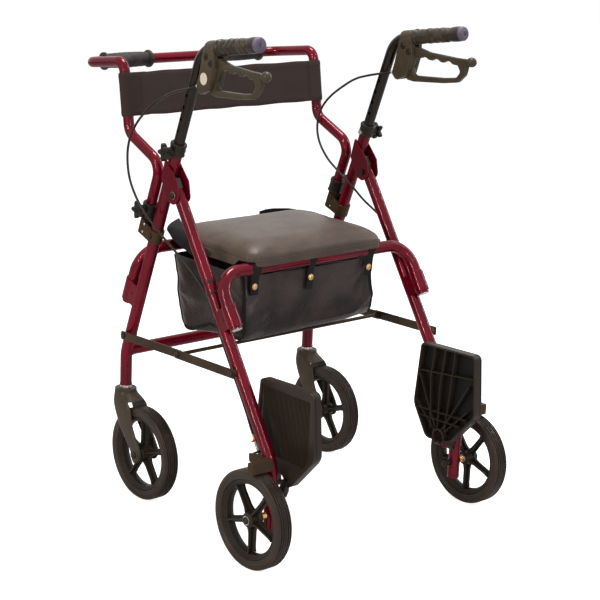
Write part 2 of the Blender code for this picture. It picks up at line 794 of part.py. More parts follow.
def make_brake_lever(side, s, frame):
    """Loop lever with finger scallops and a ball end."""
    x = s * LEG_X
    half = LEVER_T / 2
    outer = outline((-0.066, 0.963, 0.005), (-0.089, 0.966, 0.010), (-0.128, 0.957, 0.03),
                    (-0.200, 0.9535, 0.03), (-0.230, 0.9535, 0.004), (-0.2310, 0.938, 0.004),
                    (-0.2265, 0.920, 0.012), (-0.209, 0.9035, 0.012), (-0.170, 0.8975, 0.04),
                    (-0.088, 0.891, 0.010), (-0.068, 0.893, 0.006), (-0.0635, 0.925, 0.02))
    opening = outline((-0.092, 0.9425, 0.008), (-0.206, 0.9385, 0.006), (-0.2145, 0.926, 0.007),
                      (-0.203, 0.913, 0.007), (-0.170, 0.9085, 0.03), (-0.088, 0.904, 0.010),
                      (-0.083, 0.922, 0.012))
    lever = prism(outer, x - half, x + half)
    cut(lever, prism(opening, x - half - 0.01, x + half + 0.01))
    scallop_r = 0.0165
    for k in range(3):
        centre = (-0.116 - 0.032 * k, 0.9455 - 0.0005 * k - scallop_r)
        cut(lever, cross_rod(x - half - 0.01, x + half + 0.01, centre, scallop_r, 14))
    ball = []
    for k in range(7):
        angle = pi * k / 6
        ball.append((LEVER_BALL_R * sin(angle), -LEVER_BALL_R * cos(angle)))
    join(lever, turned(ball, at(x, LEVER_BALL), Y_AXIS, TUBE_SIDES))
    cut(lever, cross_bore(x - 0.02, x + 0.02, LEVER_PIVOT, SCREW_R + GAP))
    return finish("brake_lever_" + side, lever, "black_plastic", at(x, LEVER_PIVOT), frame)


def back_corner():
    return slanted(BACK_SOCKET, FRONT_LEAN, BACK_LOW_CORNER_T)


def make_backrest_bracket(side, s):
    """Sheet clamp round the front leg that carries the backrest's stub tube."""
    x = s * LEG_X
    up = up_line(FRONT_LEAN)
    low = at(x, slanted(BACK_SOCKET, FRONT_LEAN, STUB_LOW))
    high = at(x, slanted(BACK_SOCKET, FRONT_LEAN, STUB_HIGH))
    stub = rod(low, high, TUBE_R)
    leg = at(x, front_leg_point(BRACKET_Z))
    clamp = rod(leg + up * BRACKET_LOW, leg + up * BRACKET_HIGH, TUBE_R + GAP + SHEET_T)
    n = Vector((0, cos(FRONT_LEAN), -sin(FRONT_LEAN)))
    far = (at(x, BACK_SOCKET) - leg).dot(n) + BRACKET_BEYOND
    wing = [(BRACKET_LOW + 0.0005, 0.004), (BRACKET_LOW + 0.0005, far),
            (BRACKET_WING_HIGH, far), (BRACKET_HIGH - 0.0005, 0.004)]
    join(clamp, stub)
    for k in (-1, 1):
        near, far_x = sorted((k * (TUBE_R - 0.001), k * (TUBE_R + GAP + SHEET_T - 0.0004)))
        join(clamp, prism(wing, near, far_x, u=up, v=n, w=X_AXIS, base=leg))
    cut(clamp, bore(leg - up * 0.04, leg + up * 0.04, TUBE_R + GAP),
        bore(low + up * 0.003, high + up * 0.02, SLIDE_BORE_R),
        cross_bore(x + s * 0.005, x + s * 0.03, back_knob_point(), SCREW_R + GAP))
    return finish("backrest_bracket_" + side, clamp, "black_steel", leg)


def back_knob_point():
    return slanted(BACK_SOCKET, FRONT_LEAN, BACK_KNOB_T)


def make_backrest_collar(side, s):
    """Plastic collar on the stub tube, with the boss of its knob."""
    x = s * LEG_X
    lip = 0.0055
    top = at(x, slanted(BACK_SOCKET, FRONT_LEAN, STUB_HIGH + lip + GAP))
    collar = turned(collar_profile(lip, BACK_COLLAR_LENGTH), top, up_line(FRONT_LEAN))
    boss = cross_rod(x + s * (COLLAR_R - 0.003), x + s * KNOB_BOSS, back_knob_point(),
                     KNOB_BOSS_R, TUBE_SIDES)
    join(collar, boss)
    cut(collar, cross_bore(x + s * 0.005, x + s * 0.04, back_knob_point(), SCREW_R + GAP))
    return finish("backrest_collar_" + side, collar, "black_plastic", top)


def make_backrest_tube():
    """One bent tube: up from each stub, back, up behind the strap and over as push bar."""
    points = [(slanted(BACK_SOCKET, FRONT_LEAN, BACK_INSERT), 0), (back_corner(), 0.035),
              (BACK_MID, 0.030), (BACK_TOP, 0.022), (PUSH_BAR, 0.038)]
    corners = [(at(-LEG_X, p), r) for p, r in points]
    corners += [(at(LEG_X, p), r) for p, r in reversed(points)]
    tube = sweep(fillet(corners, step=radians(31)), SLIDING_TUBE_R, 8)
    return finish("backrest_tube", tube, "burgundy", at(0, BACK_SOCKET))


def make_push_grip(side, s):
    """Foam grip on the push bar with an end flange each side."""
    length = PUSH_GRIP_OUT - PUSH_GRIP_IN
    slide = clear(SLIDE_BORE_R)
    profile = [(slide, 0), (PUSH_FLANGE_R - 0.001, 0), (PUSH_FLANGE_R, 0.003),
               (PUSH_FLANGE_R - 0.001, 0.006), (PUSH_GRIP_R, 0.010),
               (PUSH_GRIP_R, length - 0.010),
               (PUSH_FLANGE_R - 0.001, length - 0.006), (PUSH_FLANGE_R, length - 0.003),
               (PUSH_FLANGE_R - 0.001, length), (slide, length)]
    grip = turned(profile, at(s * PUSH_GRIP_IN, PUSH_BAR), X_AXIS * s)
    return finish("push_grip_" + side, grip, "foam", at(s * PUSH_GRIP_IN, PUSH_BAR))


def make_back_strap():
    """Webbing belt between the backrest's uprights, sewn round each."""
    lean_y = BACK_TOP[0] - BACK_MID[0]
    lean_z = BACK_TOP[1] - BACK_MID[1]
    up = Vector((0, lean_y, lean_z)).normalized()
    front = Vector((0, -up.z, up.y))
    base = at(0, BACK_MID) + up * STRAP_LOW
    inner = SLIDING_TUBE_R + GAP
    outer = clear(inner + STRAP_T)
    steps = 6
    far = []
    near = []
    for k in range(steps + 1):
        x = LEG_X * (2 * k / steps - 1)
        sag = STRAP_SAG * (1 - (x / LEG_X) ** 2)
        far.append((x, outer - 0.0002 - sag))
        near.append((x, inner - sag))
    belt = prism(far + near[::-1], 0.0005, STRAP_WIDTH - 0.0005, u=X_AXIS, v=front, w=up,
                 base=base)
    for s in SIDES.values():
        centre = base + X_AXIS * (s * LEG_X)
        join(belt, rod(centre, centre + up * STRAP_WIDTH, outer))
    for s in SIDES.values():
        centre = base + X_AXIS * (s * LEG_X)
        cut(belt, bore(centre - up * 0.02, centre + up * (STRAP_WIDTH + 0.02), inner))
    return finish("back_strap", belt, "webbing", base)


def tab_radius():
    """Corner radius of the bag's cloth loops round the seat tubes."""
    return clear(TUBE_R + GAP + TAB_T, TUBE_SIDES)


def seat_bottom():
    """Underside of the seat, just over the bag's tabs on the rear seat tube."""
    return rear_run()[1] + tab_radius() + GAP


def seat_ring(inset, z, count=28):
    """Rounded outline of the seat at one height, drawn in along its sides."""
    half_x = SEAT_HALF_WIDTH - inset
    half_y = (SEAT_FRONT_Y - SEAT_REAR_Y) / 2 - inset
    middle = (SEAT_FRONT_Y + SEAT_REAR_Y) / 2
    ring = []
    for k in range(count):
        angle = 2 * pi * (k + 0.5) / count
        c, s = cos(angle), sin(angle)
        power = 2 / 7.0
        u = (1 if c > 0 else -1) * abs(c) ** power
        v = (1 if s > 0 else -1) * abs(s) ** power
        draw = SEAT_DRAW * (1 - (u * v) ** 2)
        x = u * (half_x - draw)
        y = middle + v * (half_y - draw)
        ring.append((x, y, z))
    return ring


def make_seat():
    """Crowned cushion on its board, hooked round the front seat tube."""
    bottom = seat_bottom()
    levels = [(0.006, 0.0), (0.001, 0.0015), (0.0, SEAT_EDGE * 0.5), (0.001, SEAT_EDGE),
              (SEAT_SLOPE * 0.25, SEAT_EDGE + 0.0085), (SEAT_SLOPE * 0.6, SEAT_EDGE + 0.0165),
              (SEAT_SLOPE, SEAT_EDGE + 0.0215), (SEAT_SLOPE + 0.035, SEAT_CROWN - 0.0022),
              (SEAT_SLOPE + 0.07, SEAT_CROWN)]
    verts = []
    for inset, rise in levels:
        verts += seat_ring(inset, bottom + rise)
    count = len(verts) // len(levels)
    faces = [tuple(range(count)), tuple(range(len(verts) - count, len(verts)))]
    for i in range(len(levels) - 1):
        for k in range(count):
            nxt = (k + 1) % count
            a, b = i * count, (i + 1) * count
            faces.append((a + k, a + nxt, b + nxt, b + k))
    seat = solid(verts, faces)
    y, z = front_run()
    inner = TUBE_R + GAP
    outer = clear(inner + SEAT_CLIP_T)
    for s in SIDES.values():
        low, high = sorted((s * SEAT_CLIP_X - SEAT_CLIP_W / 2, s * SEAT_CLIP_X + SEAT_CLIP_W / 2))
        clip = cross_rod(low, high, (y, z), outer)
        post = prism([(y - 0.008, z + inner - 0.003), (y + 0.008, z + inner - 0.003),
                      (y + 0.008, bottom + 0.003), (y - 0.008, bottom + 0.003)],
                     low + 0.0005, high - 0.0005)
        join(clip, post)
        mouth = prism([(y - 0.009, z - 0.03), (y + 0.009, z - 0.03), (y + 0.009, z), (y - 0.009, z)],
                      low - 0.01, high + 0.01)
        cut(clip, cross_bore(low - 0.01, high + 0.01, (y, z), inner, TUBE_SIDES), mouth)
        join(seat, clip)
    return finish("seat_cushion", seat, "vinyl", at(0, front_run()))


def make_bag():
    """Plain bag under the seat, hung from both seat tubes by cloth tabs."""
    top = REAR_RUN_Z - 0.012
    side_view = outline((BAG_REAR_Y, top - 0.006, 0.006), (0.146, top - 0.004, 0.006),
                        (0.133, 0.485, 0.03), (0.120, 0.400, 0.012), (0.092, 0.378, 0.015),
                        (-0.002, 0.388, 0.05), (-0.085, 0.393, 0.015), (-0.092, 0.440, 0.03))
    bag = prism(side_view, BAG_LEFT, BAG_RIGHT)
    inner = TUBE_R + GAP
    outer = tab_radius()
    y, z = rear_run()
    strap = [(y - outer, z), (y - inner - 0.0001, z), (BAG_REAR_Y + 0.001, 0.514),
             (BAG_REAR_Y + 0.001, 0.492), (BAG_REAR_Y - 0.004, 0.492), (BAG_REAR_Y - 0.0055, 0.512)]
    front_y, front_z = front_run()
    back_tab = [(front_y - inner - 0.0002, front_z - 0.001), (front_y - outer, front_z - 0.001),
                (0.139, top - 0.012), (0.141, top - 0.016), (front_y - inner - 0.0002, front_z - 0.012)]
    loops = [(x, strap, (y, z)) for x in REAR_TAB_X]
    loops += [(x, back_tab, (front_y, front_z)) for x in FRONT_TAB_X]
    for x, shape, centre in loops:
        low, high = x - TAB_W / 2, x + TAB_W / 2
        loop = cross_rod(low, high, centre, outer, TUBE_SIDES)
        join(loop, prism(shape, low + 0.0004, high - 0.0004))
        cut(loop, cross_bore(low - 0.01, high + 0.01, centre, inner, TUBE_SIDES))
        join(bag, loop)
    return finish("bag", bag, "bag_cloth", at(0, front_run()))


def fork_arm_outline():
    """Side view of a fork arm, from the crown down and back to the axle."""
    y = CASTER_Y
    axle_y = CASTER_Y - CASTER_TRAIL
    crown = CROWN_TOP - CROWN_T + 0.0013
    r = WHEEL_R
    return outline((y - 0.004, crown, 0.003), (y + 0.006, crown - 0.037, 0.012),
                   (y - 0.009, r + 0.052, 0.02), (axle_y + 0.020, r - 0.013, 0.008),
                   (axle_y + 0.006, r - 0.022, 0.010), (axle_y - 0.011, r - 0.012, 0.010),
                   (axle_y - 0.017, r + 0.012, 0.010), (axle_y + 0.010, r + 0.048, 0.02),
                   (y - 0.050, crown - 0.039, 0.02), (y - 0.052, crown - 0.015, 0.006),
                   (y - 0.028, crown, 0.010))


def make_fork(side, s):
    """Caster fork: stem, round crown, bridge and two arms."""
    x = s * LEG_X
    crown = turned([(0, CROWN_TOP - CROWN_T), (CROWN_R, CROWN_TOP - CROWN_T),
                    (CROWN_R, CROWN_TOP - 0.001), (CROWN_R - 0.002, CROWN_TOP),
                    (WASHER_R, CROWN_TOP + 0.0004), (WASHER_R, FRONT_LEG_BOTTOM - GAP),
                    (STEM_R, FRONT_LEG_BOTTOM - GAP), (STEM_R, FRONT_LEG_BOTTOM + STEM_UP - 0.002),
                    (0, FRONT_LEG_BOTTOM + STEM_UP - 0.002)], (x, CASTER_Y, 0), Z_AXIS)
    y = CASTER_Y
    top = CROWN_TOP - CROWN_T + 0.0023
    bridge = prism(outline((y - 0.050, top - 0.0185, 0.004), (y - 0.026, top, 0.010),
                           (y + 0.012, top, 0.004), (y + 0.016, top - 0.0145, 0.006),
                           (y + 0.004, top - 0.0315, 0.006), (y - 0.022, top - 0.0200, 0.02)),
                   x - FORK_HALF_WIDTH + 0.0004, x + FORK_HALF_WIDTH - 0.0004)
    arms = []
    for k in (-1, 1):
        arms.append(prism(fork_arm_outline(), x + k * (FORK_HALF_WIDTH - ARM_T),
                          x + k * FORK_HALF_WIDTH))
    join(crown, bridge, *arms)
    axle = (CASTER_Y - CASTER_TRAIL, WHEEL_R)
    cut(crown, cross_bore(x - 0.05, x + 0.05, axle, BOLT_R + GAP))
    return finish("caster_fork_" + side, crown, "black_plastic", (x, CASTER_Y, CROWN_TOP))


def make_wheel(name, centre, outer):
    """Five-spoke plastic wheel; each spoke is a T with its flange on the inner side."""
    rim_r = TYRE_BORE_R - GAP
    wheel = turned([(rim_r, -RIM_HALF_WIDTH), (rim_r, RIM_HALF_WIDTH),
                    (RIM_INNER_R + 0.0025, RIM_HALF_WIDTH), (RIM_INNER_R, 0),
                    (RIM_INNER_R + 0.0025, -RIM_HALF_WIDTH)],
                   (0, 0, 0), X_AXIS, WHEEL_STEPS)
    spokes = []
    for k in range(SPOKES):
        angle = pi / 2 + 2 * pi * k / SPOKES
        out = Vector((0, cos(angle), sin(angle)))
        tangent = Vector((0, -sin(angle), cos(angle)))
        section = [(SPOKE_FLANGE, SPOKE_FACE), (-SPOKE_FLANGE, SPOKE_FACE),
                   (-SPOKE_FLANGE, SPOKE_FACE - SPOKE_T), (-SPOKE_T / 2, SPOKE_FACE - SPOKE_T),
                   (-SPOKE_T / 2, -SPOKE_FACE), (SPOKE_T / 2, -SPOKE_FACE),
                   (SPOKE_T / 2, SPOKE_FACE - SPOKE_T), (SPOKE_FLANGE, SPOKE_FACE - SPOKE_T)]
        spokes.append(prism(section, HUB_R - 0.002, RIM_INNER_R + 0.0015,
                            u=tangent, v=-X_AXIS * outer, w=out))
    hole = clear(BOLT_R + GAP, TUBE_SIDES)
    hub = turned([(hole, -HUB_HALF_WIDTH), (HUB_R - 0.001, -HUB_HALF_WIDTH),
                  (HUB_R - 0.001, HUB_HALF_WIDTH), (hole, HUB_HALF_WIDTH)],
                 (0, 0, 0), X_AXIS, TUBE_SIDES)
    join(wheel, *spokes, hub)
    wheel = finish(name, wheel, "black_plastic")
    wheel.location = centre
    return wheel


def make_tyre(name, centre):
    """Grey tyre with drawn-in walls."""
    w = TYRE_HALF_WIDTH
    r = WHEEL_R
    half = [(TYRE_BORE_R, w - 0.0045), (TYRE_BORE_R + 0.006, w), (r - 0.005, w),
            (r, w - 0.0055)]
    profile = half + [(r - 0.0008, 0)] + [(radius, -height) for radius, height in reversed(half)]
    tyre = finish(name, turned(profile, (0, 0, 0), X_AXIS, WHEEL_STEPS), "tyre_rubber")
    tyre.location = centre
    return tyre


def make_caster(side, s):
    centre = Vector((s * LEG_X, CASTER_Y - CASTER_TRAIL, WHEEL_R))
    make_wheel("caster_wheel_" + side, centre, s)
    make_tyre("caster_tyre_" + side, centre)
    face = FORK_HALF_WIDTH + GAP
    bolt = turned([(0, -CASTER_BOLT_OUT), (NUT_R, -CASTER_BOLT_OUT), (NUT_R, -face),
                   (BOLT_R, -face), (BOLT_R, face), (NUT_R, face),
                   (NUT_R * 0.85, CASTER_BOLT_OUT), (0, CASTER_BOLT_OUT)],
                  centre, X_AXIS * s, HOLE_SIDES)
    return finish("caster_axle_" + side, bolt, "steel", centre)


def make_rear_wheel(side, s):
    centre = Vector((s * REAR_WHEEL_X, REAR_AXLE_Y, WHEEL_R))
    make_wheel("rear_wheel_" + side, centre, s)
    make_tyre("rear_tyre_" + side, centre)
    leg_face = LEG_X - TUBE_R - GAP
    spacer_in = LEG_X + TUBE_R + GAP
    spacer_out = REAR_WHEEL_X - HUB_HALF_WIDTH - GAP
    nut = REAR_WHEEL_X + HUB_HALF_WIDTH + GAP
    bolt = turned([(0, REAR_BOLT_INNER_X), (NUT_R, REAR_BOLT_INNER_X),
                   (NUT_R, REAR_BOLT_INNER_X + NUT_T), (0.006, REAR_BOLT_INNER_X + NUT_T),
                   (0.006, leg_face), (BOLT_R, leg_face), (BOLT_R, spacer_in),
                   (0.007, spacer_in), (0.007, spacer_out), (BOLT_R, spacer_out),
                   (BOLT_R, nut), (NUT_R + 0.002, nut), (NUT_R, REAR_BOLT_OUTER_X),
                   (0, REAR_BOLT_OUTER_X)], (0, REAR_AXLE_Y, WHEEL_R), X_AXIS * s, HOLE_SIDES)
    return finish("rear_axle_" + side, bolt, "steel", centre)


def make_brake_shoe(side, s):
    """Pivoted plate whose pad hangs over the rear tyre, with the wire's lug."""
    y, z = SHOE_PIVOT
    shape = outline((y + 0.036, z + 0.005, 0.004), (y + 0.034, z - 0.012, 0.004),
                    (y + 0.016, z - 0.014, 0.006), (y - 0.010, z - 0.009, 0.006),
                    (y - 0.037, z - 0.004, 0.003), (y - 0.036, z + 0.013, 0.005),
                    (y + 0.006, z + 0.011, 0.008))
    plate = prism(shape, s * SHOE_X, s * (SHOE_X + LINK_T))
    skin = LEG_X + TUBE_R
    bolt = turned([(0, LEG_X + 0.0045), (PIN_R, LEG_X + 0.0045), (PIN_R, skin + GAP),
                   (0.006, skin + GAP), (0.006, SHOE_X + 0.001), (PIN_R, SHOE_X + 0.001),
                   (PIN_R, SHOE_X + LINK_T - 0.001), (0.0062, SHOE_X + LINK_T - 0.001),
                   (0.005, SHOE_X + LINK_T + 0.0035), (0, SHOE_X + LINK_T + 0.0035)],
                  at(0, SHOE_PIVOT), X_AXIS * s, HOLE_SIDES)
    pad_low, pad_high = z - 0.020, z + 0.012
    pad = prism([(y - 0.036, pad_low), (y - 0.036 + PAD_T, pad_low), (y - 0.036 + PAD_T, pad_high),
                 (y - 0.036, pad_high)],
                s * (SHOE_X + 0.001), s * (REAR_WHEEL_X + TYRE_HALF_WIDTH - 0.0005))
    cut(pad, cross_rod(s * 0.25, s * 0.34, (REAR_AXLE_Y, WHEEL_R), WHEEL_R + SHOE_GAP, 48))
    join(plate, bolt, pad)
    lug_top = -0.0025 - GAP - SPRING_LENGTH - SPRING_WIRE_R * 2 - 0.0010
    lug = [slanted(cable_stop_point(lug_top), REAR_LEAN, -t, off)
           for t, off in ((0, -0.005), (0, 0.007), (SHEET_T, 0.007), (SHEET_T, -0.005))]
    join(plate, prism(lug, s * (CABLE_X - 0.007), s * (SHOE_X + 0.0015)))
    return finish("brake_shoe_" + side, plate, "black_steel", at(s * SHOE_X, SHOE_PIVOT))


def make_brake_spring(side, s):
    """Return spring round the brake wire, between the stop and the shoe's lug."""
    down = -up_line(REAR_LEAN)
    start = at(s * CABLE_X, cable_stop_point(-0.0025 - GAP)) + down * SPRING_WIRE_R
    side_dir = X_AXIS
    other = down.cross(side_dir)
    points = []
    for k in range(SPRING_TURNS * 7 + 1):
        share = k / (SPRING_TURNS * 7)
        angle = 2 * pi * SPRING_TURNS * share
        points.append(start + down * (SPRING_LENGTH * share)
                      + (side_dir * cos(angle) + other * sin(angle)) * SPRING_R)
    gap = min((points[i] - points[j]).length - 2 * SPRING_WIRE_R
              for i in range(len(points)) for j in range(i + 5, len(points)))
    print("brake spring, least gap to itself: %.2f mm" % (gap * 1000))
    return curve_tube("brake_spring_" + side, points, SPRING_WIRE_R, 1, "steel",
                      at(s * CABLE_X, cable_stop_point(0)))


def curve_tube(name, points, radius, resolution, look, origin):
    """Round tube with capped ends along a list of points."""
    curve = bpy.data.curves.new(name, "CURVE")
    curve.dimensions = "3D"
    curve.bevel_depth = radius
    curve.bevel_resolution = resolution
    curve.use_fill_caps = True
    spline = curve.splines.new("POLY")
    spline.points.add(len(points) - 1)
    origin = Vector(origin)
    for slot, point in zip(spline.points, points):
        slot.co = (*(point - origin), 1.0)
    for spline in curve.splines:
        spline.use_smooth = True
    curve.materials.append(material(look))
    obj = bpy.data.objects.new(name, curve)
    bpy.context.scene.collection.objects.link(obj)
    obj.location = origin
    return obj


def smooth_route(points, spacing):
    """Points at an even spacing on a smooth curve through the route's own points."""
    knots = [Vector(p) for p in points]
    knots = [2 * knots[0] - knots[1]] + knots + [2 * knots[-1] - knots[-2]]
    fine = []
    for i in range(1, len(knots) - 2):
        a, b, c, d = knots[i - 1:i + 3]
        for k in range(40):
            t = k / 40
            fine.append(0.5 * ((2 * b) + (c - a) * t + (2 * a - 5 * b + 4 * c - d) * t ** 2
                               + (3 * b - a - 3 * c + d) * t ** 3))
    fine.append(knots[-2])
    total = sum((q - p).length for p, q in zip(fine, fine[1:]))
    count = round(total / spacing)
    step = total / count
    out = [fine[0]]
    walked = 0.0
    for p, q in zip(fine, fine[1:]):
        walked += (q - p).length
        if walked >= step * len(out) - TINY and len(out) < count:
            out.append(q)
    return out + [fine[-1]]


# Free routes of the two brake cables, (x, y, z), from the ferrule to the rear leg
LEFT_LOOP = [(-0.2735, -0.012, 0.8985), (-0.2745, 0.012, 0.8920), (-0.2765, 0.040, 0.8835),
             (-0.2800, 0.070, 0.8690), (-0.2850, 0.101, 0.8480),
             (-0.2935, 0.126, 0.8200), (-0.3005, 0.142, 0.7900), (-0.3040, 0.149, 0.7600),
             (-0.3050, 0.148, 0.7270), (-0.3050, 0.139, 0.6950), (-0.3040, 0.119, 0.6640),
             (-0.3000, 0.096, 0.6370), (-0.2920, 0.064, 0.6070), (-0.2830, 0.022, 0.5750),
             (-0.2740, -0.018, 0.5450), (-0.2650, -0.060, 0.5050)]
RIGHT_LOOP = [(0.2435, -0.012, 0.9000), (0.2425, 0.012, 0.8950), (0.2430, 0.040, 0.8880),
              (0.2450, 0.070, 0.8790), (0.2490, 0.105, 0.8630), (0.2490, 0.156, 0.8290),
              (0.2440, 0.181, 0.7960), (0.2400, 0.187, 0.7590), (0.2370, 0.174, 0.7240),
              (0.2355, 0.143, 0.6920), (0.2360, 0.101, 0.6660), (0.2411, 0.0618, 0.6399),
              (0.2495, 0.0340, 0.6153), (0.2612, 0.0020, 0.5911), (0.2745, -0.0290, 0.5602),
              (0.2790, -0.0570, 0.5220)]


def make_brake_cable(side, s, frame):
    """Brake cable, whole from the handle's ferrule to the stop on the rear leg."""
    turn = Quaternion(up_line(FRONT_LEAN), s * HANDLE_TOE)
    start = Vector((s * LEG_X - FERRULE_OFFSET, *FERRULE_END)) - frame.location
    exits = [frame.location + turn @ (start + FERRULE_WAY * t) for t in (0.0010, 0.0060)]
    loop = LEFT_LOOP if s < 0 else RIGHT_LOOP
    run_offset = TUBE_R + CABLE_R + 0.002
    run = [at(s * CABLE_X, slanted(FOLD, REAR_LEAN, t, run_offset))
           for t in (-0.245, -0.300, -0.380, -0.450)]
    ends = [at(s * CABLE_X, cable_stop_point(t))
            for t in (0.030, ADJUSTER_LENGTH - 0.0025 + GAP)]
    route = exits + [Vector(p) for p in loop] + run + ends
    points = smooth_route(route, CABLE_R * 6)
    length = sum((b - a).length for a, b in zip(points, points[1:]))
    print("brake cable %s: %d points, %.3f m" % (side, len(points), length))
    return curve_tube("brake_cable_" + side, points, CABLE_R, 2, "cable_black",
                      at(s * CABLE_X, FOLD))


def make_footplate(side, s):
    """Footplate turned up: ribbed tread outside, ribs inside, knuckles on its pin."""
    y0 = HANGER_Y
    hinge_x, hinge_z = PLATE_HINGE
    shape = outline((y0 + 0.065, 0.355, 0.010), (y0 - 0.092, 0.362, 0.012),
                    (y0 - 0.103, 0.230, 0.03), (y0 - 0.034, 0.155, 0.02),
                    (y0 + 0.036, 0.149, 0.02), (y0 + 0.078, 0.218, 0.03))
    plate = prism(shape, s * PLATE_IN_X, s * PLATE_OUT_X)
    inset = [(y0 + (y - y0) * 0.94, 0.255 + (z - 0.255) * 0.95) for y, z in shape]
    pocket = prism(inset, s * (PLATE_IN_X - 0.01), s * (PLATE_OUT_X - PLATE_SKIN))
    ribs = []
    rib = 0.0015
    for y in (y0 - 0.045, y0 + 0.030):
        ribs.append(prism([(y - rib, 0.150), (y + rib, 0.150), (y + rib, 0.355), (y - rib, 0.355)],
                          s * (PLATE_IN_X - 0.02), s * PLATE_OUT_X))
    for z in (0.258,):
        ribs.append(prism([(y0 - 0.09, z - rib), (y0 + 0.07, z - rib), (y0 + 0.07, z + rib),
                           (y0 - 0.09, z + rib)], s * (PLATE_IN_X - 0.02), s * PLATE_OUT_X))
    boss = cross_rod(s * (PLATE_IN_X - 0.02), s * PLATE_OUT_X, (y0, 0.161), NOTCH_R + 0.004)
    cut(pocket, boss, *ribs)
    cut(plate, pocket)
    knuckles = []
    for a, b in ((-KNUCKLE_OUT, -KNUCKLE_IN), (KNUCKLE_IN, KNUCKLE_OUT)):
        knuckles.append(rod((s * hinge_x, y0 + a, hinge_z), (s * hinge_x, y0 + b, hinge_z),
                            KNUCKLE_R, HOLE_SIDES))
        arm = [(hinge_x - 0.004, hinge_z - 0.005), (PLATE_OUT_X - 0.006, hinge_z + 0.004),
               (PLATE_OUT_X - 0.008, hinge_z + 0.026), (PLATE_OUT_X - 0.0005, hinge_z + 0.026),
               (hinge_x + 0.004, hinge_z + 0.005)]
        knuckles.append(prism([(s * x, z) for x, z in arm], y0 + a + 0.0005, y0 + b - 0.0005,
                              u=X_AXIS, v=Z_AXIS, w=Y_AXIS))
    join(plate, *knuckles)
    notch = [(y0 - KNUCKLE_IN + 0.0005, 0.12), (y0 + KNUCKLE_IN - 0.0005, 0.12),
             (y0 + KNUCKLE_IN - 0.0005, 0.161), (y0 - KNUCKLE_IN + 0.0005, 0.161)]
    cut(plate, cross_rod(s * 0.20, s * 0.25, (y0, 0.161), NOTCH_R, TUBE_SIDES),
        prism(notch, s * 0.20, s * 0.25),
        bore((s * hinge_x, y0 - 0.05, hinge_z), (s * hinge_x, y0 + 0.05, hinge_z), PIN_R + GAP,
             HOLE_SIDES))
    return finish("footplate_" + side, plate, "black_plastic", (s * hinge_x, y0, hinge_z))


def make_side(side, s):
    """Everything that the object has once on each side."""
    make_front_leg(side, s)
    make_rear_leg(side, s)
    make_pivot_bolt(side, s)
    make_handle_collar(side, s)
    knob = front_leg_point(HANDLE_KNOB_Z)
    make_knob("handle_knob_" + side, s * LEG_X, s, knob, SLIDING_TUBE_R + GAP)
    frame = handle_frame(side, s)
    make_handle_tube(side, s, frame)
    make_grip(side, s, frame)
    make_brake_housing(side, s, frame)
    make_brake_lever(side, s, frame)
    make_brake_cable(side, s, frame)
    make_backrest_bracket(side, s)
    make_backrest_collar(side, s)
    make_knob("backrest_knob_" + side, s * LEG_X, s, back_knob_point(), SLIDING_TUBE_R + GAP)
    make_push_grip(side, s)
    make_link("front_link_" + side, s, front_leg_point(FRONT_LINK_Z), INNER_LAYER_X, False)
    make_link("rear_link_" + side, s, rear_link_pin(), OUTER_LAYER_X, True)
    make_fork(side, s)
    make_caster(side, s)
    make_rear_wheel(side, s)
    make_brake_shoe(side, s)
    make_brake_spring(side, s)
    make_footplate(side, s)


def centre_origin():
    """Move the model in y, so that its origin is under the middle of its box."""
    for obj in bpy.context.scene.objects:
        if obj.parent is None:
            obj.location.y -= ORIGIN_Y


def main():
    clear_scene()
    for side, s in SIDES.items():
        make_side(side, s)
    make_crossbar()
    make_seat_tube("seat_tube_front", front_socket(), FRONT_LEAN, FRONT_SOCKET_LENGTH, FRONT_RUN_Z)
    make_seat_tube("seat_tube_rear", rear_socket(), REAR_LEAN, REAR_SOCKET_LENGTH, REAR_RUN_Z)
    make_backrest_tube()
    make_back_strap()
    make_seat()
    make_bag()
    make_link_rod()
    centre_origin()
    bpy.context.view_layer.update()


main()
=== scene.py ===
"""Looks of the rollator that turns into a transport wheelchair.

Shapes are drawn as in the solid model: metres, +Z up, x > 0 on the right, and side
views as (y, z) pairs from y = 0 between the legs. Each finished piece is then moved by
ORIGIN_Y to where the solids stand.
"""

